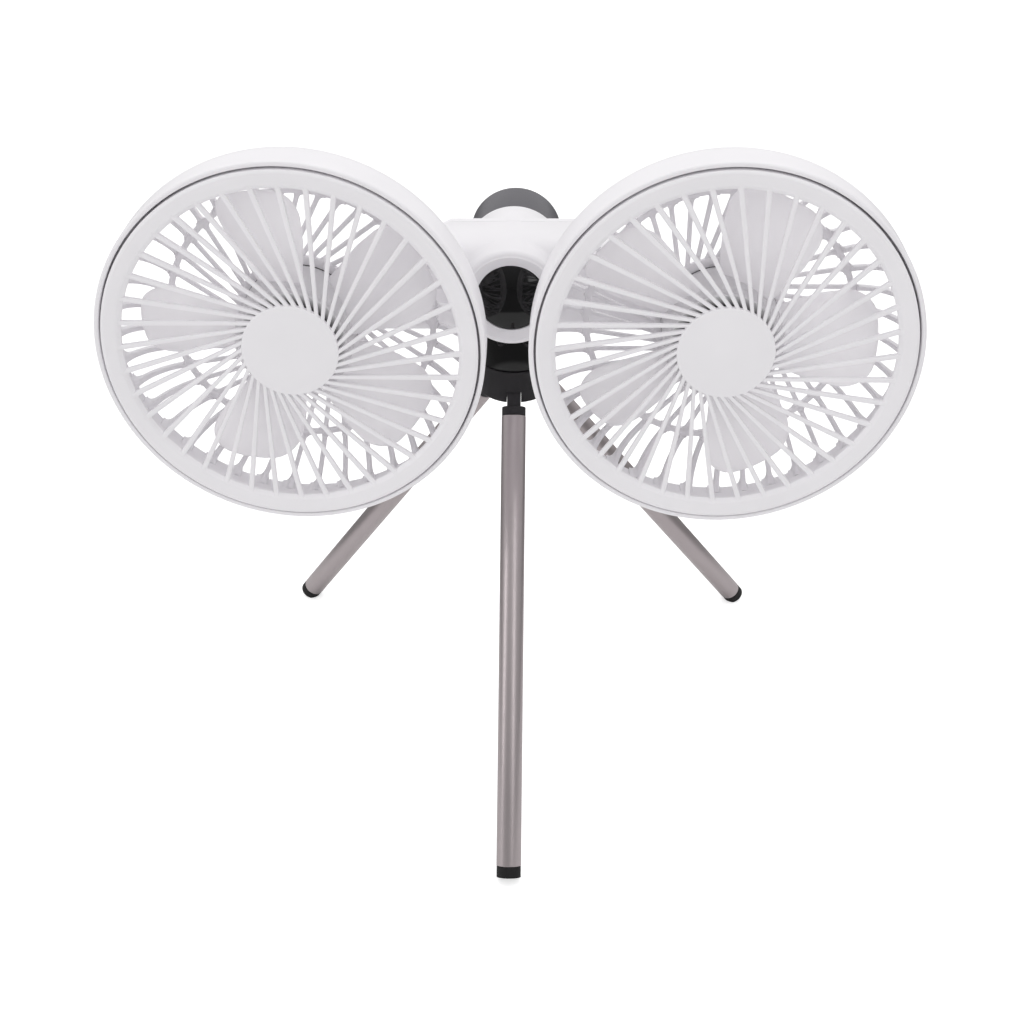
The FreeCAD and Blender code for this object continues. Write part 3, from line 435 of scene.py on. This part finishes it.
# Battery cap: smooth dark grey drum that closes the back of the pod over the cells.
# Its spigot pushes into the pod's bore; the end edge is rounded.
cap_low, cap_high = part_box("battery_cap")
cap_radius = (cap_high.x - cap_low.x) / 2
cap_wall = 1.6 * MM
cap_bore = cap_radius - cap_wall
cap_floor = cap_high.y - cap_wall
cap_front = cap_low.y + 2.5 * MM
cap_step = cap_front + 2 * MM
spigot_radius = 19.5 * MM
spigot_bore = spigot_radius - 1 * MM
cap_round = 3 * MM
floor_round = 1.6 * MM
front_edge = 0.3 * MM
spigot_edge = 0.2 * MM
cap_profile = rounded([
    (0, cap_floor, 0), (cap_bore, cap_floor, floor_round), (cap_bore, cap_step, spigot_edge),
    (spigot_bore, cap_step, spigot_edge), (spigot_bore, cap_low.y, spigot_edge),
    (spigot_radius, cap_low.y, spigot_edge), (spigot_radius, cap_front, 0),
    (cap_radius, cap_front, front_edge), (cap_radius, cap_high.y, cap_round), (0, cap_high.y, 0)], steps=10)
grey_plastic = moulded_plastic("grey_plastic", (0.066, 0.062, 0.076), roughness=0.34, grain_size=0.5 * MM,
                               grain_depth=0.02 * MM)
finish_piece("cap_drum", turned(cap_profile, 128, origin=pod_axis), grey_plastic,
             "beam", "dark_grey_plastic", "battery_cap")

# Motors: a pressed steel can with its shaft behind each fan, screwed to the head's rear wall.
# They keep their CAD shapes; the fan's hub covers them.
motor_lacquer = metal("motor_lacquer", (0.25, 0.25, 0.26), roughness=0.4, grain_size=0.8 * MM,
                      grain_depth=0.01 * MM)
dress(motor_lacquer, "motor_left", "motor_right")
dress(zinc_steel, "motor_shaft_left", "motor_shaft_right", "motor_screws_left", "motor_screws_right")

# Head housings: satin white ABS drum with a front lip for the grille, a rounded back with slanting guard
# ribs, a plain boss over the motor, and the tilt knuckle that the arm's bolt goes through.
head_low, head_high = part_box("head_shell_left")
grille_low, grille_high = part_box("front_grille_left")
head_radius = (head_high.z - head_low.z) / 2
head_front = head_low.y
head_wall = 2.0 * MM
front_round = 0.9 * MM
lip_inner = head_radius - head_wall
lip_round = 0.5 * MM
lip_chamfer = 0.15 * MM
drum_bore = lip_inner - 1.5 * MM
grille_seat = grille_high.y + 0.1 * MM
seam = 0.9 * MM
ring_outer = lip_inner - seam
groove_inner = ring_outer - 0.1 * MM
groove_floor = grille_seat + 4 * MM
wall_end = head_front + 13.5 * MM
rear_round = 21 * MM
rear_centre = head_radius - rear_round
rear_face = wall_end + rear_round
rear_steps = 14
inner_face = rear_face - head_wall
slot_front = wall_end + 3 * MM
guard_outer = 75 * MM
guard_ring = 54.4 * MM
guard_hub = 27 * MM
guard_edge = 0.5 * MM
ring_half = 1.25 * MM
rib_count = 40
rib_tangent = 14 * MM
rib_width = 2.0 * MM
rib_edge = 0.6 * MM
rib_sink = 0.15 * MM
rib_into_hub = 2 * MM
rib_into_ring = 1 * MM
rib_into_wall = 1.2 * MM
boss_radius = 22 * MM
boss_back = rear_face + 1.6 * MM
boss_edge = 0.8 * MM
tilt_y = joints["left_head_tilt"]["pos_m"][1]
knuckle_radius = 11.5 * MM
knuckle_half = 6.3 * MM
knuckle_edge = 0.6 * MM
bolt_bore = 2.55 * MM
bore_chamfer = 0.3 * MM
bolt_sink_radius = 5.3 * MM
bolt_sink_floor = knuckle_half - 2.7 * MM
web_depth = tilt_y - knuckle_radius * 0.5 - rear_face
web_inset = 0.4 * MM
web_edge = 0.5 * MM


def rear_height(radius):
    """How far back the housing's outer surface lies at a radius: flat, then round to the wall."""
    past = max(0.0, radius - rear_centre)
    return wall_end + math.sqrt(max(0.0, rear_round ** 2 - past ** 2))


def guard_back(radius):
    """Backs of the ribs, a hair inside the wall, the middle ring and the boss that they run into."""
    return rear_height(radius) - rib_sink


def guard_front(radius):
    """Fronts of the ribs: level over the flat middle, then along the inside of the round to the slots."""
    past = radius - rear_centre
    inner_round = drum_bore - rear_centre
    if past < 0:
        return inner_face + rib_sink
    return max(slot_front, wall_end + math.sqrt(max(0.0, inner_round ** 2 - past ** 2))) + rib_sink


def slanted_bar(stations, tangent, front_of, back_of, edge):
    """A straight bar beside the fan's axis, tangent to a small circle: (radius, width) stations along it,
    with its front and back given by radius and its long edges rounded."""
    most_of_side = 0.45
    rows = []
    for radius, width in stations:
        along = math.sqrt(radius ** 2 - tangent ** 2)
        bevel = min(edge, most_of_side * width, most_of_side * (back_of(radius) - front_of(radius)))
        row = []
        for side, far, quarter in ((1, 0, 3), (1, 1, 0), (-1, 1, 1), (-1, 0, 2)):
            for share in (0, 0.5, 1):
                turn = math.pi / 2 * (quarter + share)
                across = tangent + side * (width / 2 - bevel) + bevel * math.cos(turn)
                here = math.hypot(along, across)
                deep = back_of(here) - bevel if far else front_of(here) + bevel
                row.append((along, deep + bevel * math.sin(turn), across))
        rows.append(row)
    return lofted(rows, "bar")


def flared(from_radius, to_radius, width, inner_flare, outer_flare, steps=18):
    """Stations of a rib that widens in a smooth curve at both ends, so the slots beside it end round."""
    stations = []
    for step in range(steps + 1):
        radius = from_radius + (to_radius - from_radius) * (1 - math.cos(math.pi * (step / steps))) / 2
        widening = 0.0
        for near, flare in ((radius - from_radius, inner_flare), (to_radius - radius, outer_flare)):
            if near < flare:
                widening += flare - math.sqrt(flare ** 2 - (flare - near) ** 2)
        stations.append((radius, width + 2 * widening))
    return stations


copies_tree = bpy.data.node_groups.new("copies about a fan axis", "GeometryNodeTree")
copies_inputs = {}
for label, kind in (("Geometry", "NodeSocketGeometry"), ("Count", "NodeSocketInt"),
                    ("First Angle", "NodeSocketFloat"), ("Material", "NodeSocketMaterial")):
    socket = copies_tree.interface.new_socket(label, in_out="INPUT", socket_type=kind)
    copies_inputs[label] = socket.identifier
copies_tree.interface.new_socket("Geometry", in_out="OUTPUT", socket_type="NodeSocketGeometry")
given = copies_tree.nodes.new("NodeGroupInput").outputs
copy_number = linked(copies_tree, "GeometryNodeInputIndex")
copy_share = linked(copies_tree, "ShaderNodeMath", "DIVIDE", _0=copy_number, _1=given["Count"])
copy_turn = linked(copies_tree, "ShaderNodeMath", "MULTIPLY_ADD", _0=copy_share, _1=2 * math.pi,
                   _2=given["First Angle"])
about_axis = linked(copies_tree, "ShaderNodeCombineXYZ", Y=copy_turn)
spots = linked(copies_tree, "GeometryNodePoints", Count=given["Count"])
instances = linked(copies_tree, "GeometryNodeInstanceOnPoints", Points=spots, Instance=given["Geometry"],
                   Rotation=about_axis)
realised = linked(copies_tree, "GeometryNodeRealizeInstances", Geometry=instances)
coated = linked(copies_tree, "GeometryNodeSetMaterial", Geometry=realised, Material=given["Material"])
feed(copies_tree, copies_tree.nodes.new("NodeGroupOutput").inputs["Geometry"], coated)


def copies_about_axis(unit, count, material, first_deg=0):
    """Count copies of one mesh turned about the Y axis by Geometry Nodes, as a plain mesh."""
    holder = placed("copies", unit)
    turning = holder.modifiers.new("copies", "NODES")
    turning.node_group = copies_tree
    turning[copies_inputs["Count"]] = count
    turning[copies_inputs["First Angle"]] = math.radians(first_deg)
    turning[copies_inputs["Material"]] = material
    return applied(holder)


def axis_place(low, high):
    """Where a head's axis crosses y = 0, from the box of a round node on that axis."""
    return Vector(((low.x + high.x) / 2, 0, (low.z + high.z) / 2))


drum_profile = rounded([
    (lip_inner, head_front, 0), (head_radius, head_front, front_round), (head_radius, wall_end, 0)],
    steps=5)[1:]
for step in range(1, rear_steps + 1):
    turn = step / rear_steps * math.acos((guard_outer - rear_centre) / rear_round)
    drum_profile.append((rear_centre + rear_round * math.cos(turn), wall_end + rear_round * math.sin(turn)))
drum_profile += [
    (guard_outer, slot_front), (drum_bore, slot_front), (drum_bore, grille_seat),
    (groove_inner, grille_seat), (groove_inner, groove_floor), (lip_inner, groove_floor),
    (lip_inner, head_front + lip_round), (lip_inner + lip_chamfer, head_front + lip_chamfer),
    (lip_inner + lip_round, head_front)]
drum = turned(drum_profile, 192, closed=True)
rib_stations = flared(guard_hub - rib_into_hub, guard_ring - rib_into_ring, rib_width,
                      inner_flare=2.4 * MM, outer_flare=2.0 * MM)
rib_stations += flared(guard_ring + rib_into_ring, guard_outer, rib_width,
                       inner_flare=2.0 * MM, outer_flare=2.6 * MM)
rib_stations.append((guard_outer + rib_into_wall, rib_stations[-1][1]))
rib = slanted_bar(rib_stations, rib_tangent, guard_front, guard_back, rib_edge)
ribs = copies_about_axis(rib, rib_count, white_abs)
middle_ring = turned(rounded([
    (guard_ring - ring_half, inner_face, guard_edge), (guard_ring + ring_half, inner_face, guard_edge),
    (guard_ring + ring_half, rear_face, guard_edge), (guard_ring - ring_half, rear_face, guard_edge)],
    closed=True, steps=3), 144, closed=True)
motor_wall = turned(rounded([
    (0, inner_face, 0), (guard_hub, inner_face, guard_edge), (guard_hub, rear_face, guard_edge),
    (boss_radius, rear_face, boss_edge), (boss_radius, boss_back, boss_edge), (0, boss_back, 0)],
    steps=4), 128)
knuckle_profile = rounded([
    (bolt_bore, -knuckle_half, bore_chamfer), (knuckle_radius, -knuckle_half, knuckle_edge),
    (knuckle_radius, knuckle_half, knuckle_edge), (bolt_sink_radius, knuckle_half, bore_chamfer),
    (bolt_sink_radius, bolt_sink_floor, 0), (bolt_bore, bolt_sink_floor, 0)], closed=True, steps=4)
web_body = bmesh.new()
bmesh.ops.create_cube(web_body, size=1)
bmesh.ops.scale(web_body, verts=web_body.verts,
                vec=(2 * knuckle_half - web_inset, web_depth, 2 * knuckle_radius - web_inset))
bmesh.ops.translate(web_body, verts=web_body.verts, vec=(0, rear_face + web_depth / 2, 0))
bmesh.ops.bevel(web_body, geom=web_body.edges[:], offset=web_edge, segments=3, affect="EDGES")
web = as_mesh(web_body, "web")
for side, away in (("left", -1), ("right", 1)):
    knuckle = turned(knuckle_profile, 96, closed=True, origin=(0, tilt_y, 0), axis=(away, 0, 0))
    head_place = axis_place(*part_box("head_shell_" + side))
    housing = joined([drum, ribs, middle_ring, motor_wall, knuckle, web], head_place)
    finish_piece("housing_" + side, housing, white_abs,
                 side + "_head", "white_plastic", "head_shell_" + side)

# Fans: frosted plastic moulding with a cup-shaped hub over the motor and five broad twisted blades.
# The hub is pushed onto the motor's shaft; a disc of painted shade lies on its front, dark in the middle
# where the grille's disc shades the hub and pale at its rim, and a band of painted shade lines its rear
# edge.
rotor_hub_radius = 23.8 * MM
hub_back = inner_face - 1.8 * MM
hub_front = hub_back - 23 * MM
hub_wall = 2 * MM
hub_bore = rotor_hub_radius - hub_wall
hub_floor = hub_front + hub_wall
hub_front_round = 2 * MM
hub_floor_round = 1 * MM
hub_back_edge = 0.4 * MM
socket_radius = 4 * MM
socket_end = hub_front + 3 * hub_wall
socket_edge = 0.3 * MM
shaft_bore = 1.55 * MM
blade_count = 5
blade_start = {"left": 41.4, "right": 2.2}
blade_middle = head_front + 18.7 * MM
blade_root = rotor_hub_radius - 1.5 * MM
blade_tip = 62 * MM
blade_corner = 11 * MM
blade_camber = 0.07
blade_thickness = 1.6 * MM
blade_chords = (24 * MM, 36 * MM, 42 * MM)
blade_pitches = (34, 26, 20)
# A disc of painted shade on the hub's front and a band of painted shade at its rear edge.
shade_disc_radius = 21.6 * MM
shade_disc_front = hub_front - 0.35 * MM
shade_disc_back = hub_front + 0.5 * MM
shade_disc_edge = 0.3 * MM
shade_fade_radius = 17.2 * MM
band_inner = rotor_hub_radius - 0.6 * MM
band_outer = rotor_hub_radius + 0.1 * MM
band_front = hub_back - 0.1 * MM
band_back = hub_back + 0.4 * MM


def between(values, share_along):
    """Straight interpolation through three values at the root, middle and tip."""
    if share_along < 0.5:
        return values[0] + (values[1] - values[0]) * 2 * share_along
    return values[1] + (values[2] - values[1]) * (2 * share_along - 1)


def blade_mesh():
    """One twisted and cambered blade along +X, thin at its edges, with round tip corners."""
    rows, columns = 26, 18
    side_thinning, tip_thinning = 6, 24
    widest_share = 0.8
    weld_distance = 0.01 * MM
    body = bmesh.new()
    points = {}
    for row in range(rows + 1):
        share_along = math.sin(math.pi / 2 * row / rows)
        radius = blade_root + (blade_tip - blade_root) * share_along
        chord = between(blade_chords, share_along)
        pitch = math.radians(between(blade_pitches, share_along))
        into_corner = max(0.0, radius - (blade_tip - blade_corner)) / blade_corner
        half = chord / 2 - blade_corner * (1 - math.sqrt(max(0.0, 1 - into_corner ** 2)))
        for column in range(columns + 1):
            share_across = -math.cos(math.pi * column / columns)
            along = half * share_across
            rise = -blade_camber * chord * (1 - (2 * along / chord) ** 2)
            side_share = max(0.0, 1 - share_across ** side_thinning)
            tip_share = max(0.0, 1 - share_along ** tip_thinning)
            thick = blade_thickness / 2 * math.sqrt(side_share * tip_share)
            for face_side in (-1, 1):
                off = rise + face_side * thick
                z = along * math.cos(pitch) - off * math.sin(pitch)
                y = blade_middle + along * math.sin(pitch) + off * math.cos(pitch)
                x = math.sqrt(radius ** 2 - min(z ** 2, widest_share * radius ** 2))
                points[row, column, face_side] = body.verts.new((x, y, z))
    for row in range(rows):
        for column in range(columns):
            for face_side in (-1, 1):
                body.faces.new([points[row, column, face_side], points[row + 1, column, face_side],
                                points[row + 1, column + 1, face_side], points[row, column + 1, face_side]])
    bmesh.ops.remove_doubles(body, verts=body.verts, dist=weld_distance)
    bmesh.ops.recalc_face_normals(body, faces=body.faces)
    return as_mesh(body, "blade")


frosted = moulded_plastic("frosted_plastic", (0.97, 0.958, 0.975), roughness=0.5, grain_size=0.4 * MM,
                          grain_depth=0.03 * MM)
frosted_tree = frosted.node_tree
surface = frosted_tree.nodes["Principled BSDF"].outputs["BSDF"]
through = linked(frosted_tree, "ShaderNodeBsdfTranslucent", Color=(1.0, 0.99, 1.0, 1))
clear = linked(frosted_tree, "ShaderNodeBsdfTransparent")
veil = linked(frosted_tree, "ShaderNodeMixShader", Fac=0.5, _1=surface, _2=through)
haze = linked(frosted_tree, "ShaderNodeMixShader", Fac=0.14, _1=veil, _2=clear)
feed(frosted_tree, frosted_tree.nodes["Material Output"].inputs["Surface"], haze)
# Painted shade: dark in the middle, where the grille's disc shades the hub, fading to the pale plastic at
# the disc's rim.
hub_shade_material = moulded_plastic("painted_hub_shade", (0.93, 0.93, 0.935), roughness=0.4, grain_size=0.4 * MM,
                         grain_depth=0.03 * MM)
hub_shade_tree = hub_shade_material.node_tree
hub_shade_colour = hub_shade_tree.nodes["Principled BSDF"].inputs["Base Color"]
pale = hub_shade_colour.links[0].from_socket
profile_place = linked(hub_shade_tree, "ShaderNodeTexCoord", result="UV")
from_middle = linked(hub_shade_tree, "ShaderNodeSeparateXYZ", result="Y", Vector=profile_place)
fade = linked(hub_shade_tree, "ShaderNodeMapRange", Value=from_middle, From_Min=shade_fade_radius,
              From_Max=shade_disc_radius)
feed(hub_shade_tree, hub_shade_colour, colour_between(hub_shade_tree, fade, (0.045, 0.043, 0.046, 1), pale))
hub_cup = turned(rounded([
    (0, hub_front, 0), (rotor_hub_radius, hub_front, hub_front_round),
    (rotor_hub_radius, hub_back, hub_back_edge), (hub_bore, hub_back, hub_back_edge),
    (hub_bore, hub_floor, hub_floor_round), (socket_radius, hub_floor, 0),
    (socket_radius, socket_end, socket_edge), (shaft_bore, socket_end, 0), (shaft_bore, hub_floor, 0),
    (0, hub_floor, 0)], steps=6), 128)
hub_shade_disc = turned(rounded([
    (0, shade_disc_front, 0), (shade_disc_radius, shade_disc_front, shade_disc_edge), (shade_disc_radius, shade_disc_back, 0)], steps=4)
    + [(0, shade_disc_back)], 96)
# Painted shade: a thin band that stays dark all over, covering the hub's rear edge where the gap to the
# housing is in shade.
rear_shade_band = turned([
    (band_inner, band_front), (band_outer, band_front), (band_outer, band_back), (band_inner, band_back)],
    128, closed=True)
blade = blade_mesh()
for side in ("left", "right"):
    head_place = axis_place(*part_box("head_shell_" + side))
    blades = copies_about_axis(blade, blade_count, frosted, blade_start[side])
    fan = joined([hub_cup, blades], head_place)
    shade_disc = joined([hub_shade_disc, rear_shade_band], head_place)
    finish_piece("fan_" + side, fan, frosted, side + "_fan", "frosted_plastic", "fan_rotor_" + side)
    finish_piece("hub_shade_disc_" + side, shade_disc, hub_shade_material, side + "_fan", "matte_black")

# Front grilles: satin white ABS ring snapped into the drum's lip, with forty slanting spokes that run in
# under a plain middle disc and end as small ridges on the ring's inner edge.
grille_front = grille_low.y
grille_back = grille_high.y
ring_inner = 66.8 * MM
ring_shoulder = (ring_outer, grille_front - 0.2 * MM)
ring_crest = (ring_outer - 1.2 * MM, grille_front - 0.6 * MM)
ring_slope = (ring_inner + 1.6 * MM, grille_front + 0.1 * MM)
ring_foot = (ring_inner, grille_front + 1.6 * MM)
disc_radius = 19.3 * MM
disc_front_round = 0.5 * MM
disc_back_round = 0.4 * MM
spoke_count = 40
spoke_tangent = -11.6 * MM
spoke_front = grille_front + 0.8 * MM
spoke_sink = 0.2 * MM
spoke_edge = 0.5 * MM
disc_front = spoke_front - 0.25 * MM
ridge_height = 0.9 * MM
ridge_rise = 2.6 * MM
ridge_width = 2.1 * MM


def spoke_face(radius):
    """Spokes run level, then rise onto the ring and sink into it as a ridge."""
    onto_ring = max(0.0, radius - ring_inner)
    return spoke_front - ridge_height * math.sin(min(math.pi, onto_ring / ridge_rise * math.pi / 2)) ** 2


def spoke_back(radius):
    """Spokes stay level behind, a hair inside the ring's and the disc's back."""
    return grille_back - spoke_sink


ring = turned(rounded([
    (ring_outer, grille_back, 0.3 * MM), (*ring_shoulder, 0.5 * MM), (*ring_crest, 0.8 * MM),
    (*ring_slope, 1.2 * MM), (*ring_foot, 0.6 * MM), (ring_inner, grille_back, 0.4 * MM)],
    closed=True, steps=5), 192, closed=True)
disc = turned(rounded([
    (0, disc_front, 0), (disc_radius, disc_front, disc_front_round),
    (disc_radius, grille_back, disc_back_round), (0, grille_back, 0)], steps=5), 128)
spoke_stations = [
    (disc_radius - 1.5 * MM, 1.5 * MM), (30 * MM, 1.6 * MM), (45 * MM, 1.85 * MM), (60 * MM, 2.05 * MM)]
spoke_stations += [(ring_inner + reach * MM, ridge_width) for reach in (-1, 0, 0.6, 1.2, 1.8, 2.4)]
spoke = slanted_bar(spoke_stations, spoke_tangent, spoke_face, spoke_back, spoke_edge)
spokes = copies_about_axis(spoke, spoke_count, white_abs)
for side in ("left", "right"):
    grille_place = axis_place(*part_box("front_grille_" + side))
    grille = joined([ring, disc, spokes], grille_place)
    finish_piece("grille_" + side, grille, white_abs,
                 side + "_head", "white_plastic", "front_grille_" + side)

# Table and studio: a white table top under soft boxes above and at both sides, before a white background.
# White plastic is lit at about its own colour, and shiny pieces see a darker room and a far table darkened
# by painted shade.
table_radius = 4
table_white = 0.88
far_table_shade = 0.22
table_near = 0.235
table_far = 0.265
table_glow = 0.55
room_up = (0, 0.6, 0.8)
fan_middle = Vector((0, 0, 0.16))


def seen_directly(tree):
    """1 for rays from the camera and for those that pass through the plastic, 0 for the rest."""
    path = tree.nodes.new("ShaderNodeLightPath").outputs
    return linked(tree, "ShaderNodeMath", "MAXIMUM", _0=path["Is Camera Ray"],
                  _1=path["Is Transmission Ray"])


def seen_in_mirrors(tree):
    """1 for rays reflected by a shiny surface, 0 for the rest."""
    return linked(tree, "ShaderNodeLightPath", result="Is Glossy Ray")


table_body = bmesh.new()
bmesh.ops.create_circle(table_body, cap_ends=True, radius=table_radius, segments=96)
table_mesh = as_mesh(table_body, "table")
table_top = placed("table", table_mesh)
table_material = bpy.data.materials.new("table_white")
table_material.use_nodes = True
table_mesh.materials.append(table_material)
table_tree = table_material.node_tree
table_shader = table_tree.nodes["Principled BSDF"].inputs
table_place = linked(table_tree, "ShaderNodeTexCoord", result="Object")
from_fan = linked(table_tree, "ShaderNodeVectorMath", "LENGTH", "Value", _0=table_place)
# Painted shade: seen in reflections, the table fades from white to dark grey away from the fan, where the
# soft boxes' light falls off.
far_share = linked(table_tree, "ShaderNodeMapRange", Value=from_fan, From_Min=table_near, From_Max=table_far)
far_share = linked(table_tree, "ShaderNodeMath", "MULTIPLY", _0=far_share, _1=seen_in_mirrors(table_tree))
near_colour = (table_white, table_white, table_white, 1)
far_colour = (far_table_shade, far_table_shade, far_table_shade, 1)
glow = linked(table_tree, "ShaderNodeMath", "MULTIPLY", _0=table_glow, _1=seen_directly(table_tree))
feed(table_tree, table_shader["Base Color"], colour_between(table_tree, far_share, near_colour, far_colour))
feed(table_tree, table_shader["Roughness"], 0.9)
feed(table_tree, table_shader["Emission Color"], (1, 1, 1, 1))
feed(table_tree, table_shader["Emission Strength"], glow)

surroundings = bpy.data.worlds.new("surroundings")
surroundings.use_nodes = True
bpy.context.scene.world = surroundings
world_tree = surroundings.node_tree
background = world_tree.nodes["Background"].inputs
towards = linked(world_tree, "ShaderNodeTexCoord", result="Generated")
from_above = linked(world_tree, "ShaderNodeVectorMath", "DOT_PRODUCT", "Value", _0=towards, _1=room_up)
diffuse_level = linked(world_tree, "ShaderNodeMapRange", Value=from_above, From_Min=-1.0, From_Max=1.0,
                       To_Min=0.30, To_Max=0.86)
mirror_level = linked(world_tree, "ShaderNodeMapRange", Value=from_above, From_Min=-0.6, From_Max=0.9,
                      To_Min=0.24, To_Max=0.95)
room_level = linked(world_tree, "ShaderNodeMix", Factor=seen_in_mirrors(world_tree), A=diffuse_level,
                    B=mirror_level)
world_level = linked(world_tree, "ShaderNodeMix", Factor=seen_directly(world_tree), A=room_level, B=1.0)
feed(world_tree, background["Strength"], world_level)
feed(world_tree, background["Color"], (1, 1, 1, 1))

for name, place, width, height, power in (
        ("soft_box_above", (0.1, 0.1, 1.35), 1.3, 1.1, 3.0),
        ("soft_box_left", (-1.04, -0.51, 0.48), 0.3, 0.9, 2.0),
        ("soft_box_right", (0.59, -0.94, 0.75), 0.3, 0.9, 1.8)):
    lamp = bpy.data.lights.new(name, "AREA")
    lamp.shape = "RECTANGLE"
    lamp.size = width
    lamp.size_y = height
    lamp.energy = power
    soft_box = placed(name, lamp)
    soft_box.location = place
    soft_box.rotation_euler = (fan_middle - Vector(place)).to_track_quat("-Z", "Y").to_euler()

# Camera: the photograph's viewpoint, above the heads and almost square to the front.
# Its lens is worked out from a focal length in pixels of the photograph.
view_target = Vector((-1.945 * MM, 32.493 * MM, 104.354 * MM))
view_distance = 735.15 * MM
view_height = math.radians(32.205)
view_side = math.radians(2.094)
view_roll = math.radians(-0.621)
photo_width = 1024
photo_focal_length = 1502.76
sensor_width = 36
towards_camera = Vector((math.sin(view_side) * math.cos(view_height),
                         -math.cos(view_side) * math.cos(view_height), math.sin(view_height)))
level_right = Vector((0, 0, 1)).cross(towards_camera).normalized()
level_up = towards_camera.cross(level_right)
camera_right = level_right * math.cos(view_roll) + level_up * math.sin(view_roll)
camera_up = towards_camera.cross(camera_right)
camera_data = bpy.data.cameras.new("camera")
camera_data.sensor_fit = "HORIZONTAL"
camera_data.sensor_width = sensor_width
camera_data.lens = sensor_width * photo_focal_length / photo_width
camera_data.clip_start = 0.01
camera = placed("camera", camera_data)
camera_turn = Matrix((camera_right, camera_up, towards_camera)).transposed().to_4x4()
camera.matrix_world = Matrix.Translation(view_target + towards_camera * view_distance) @ camera_turn
bpy.context.scene.camera = camera
bpy.context.scene.view_settings.view_transform = "Standard"
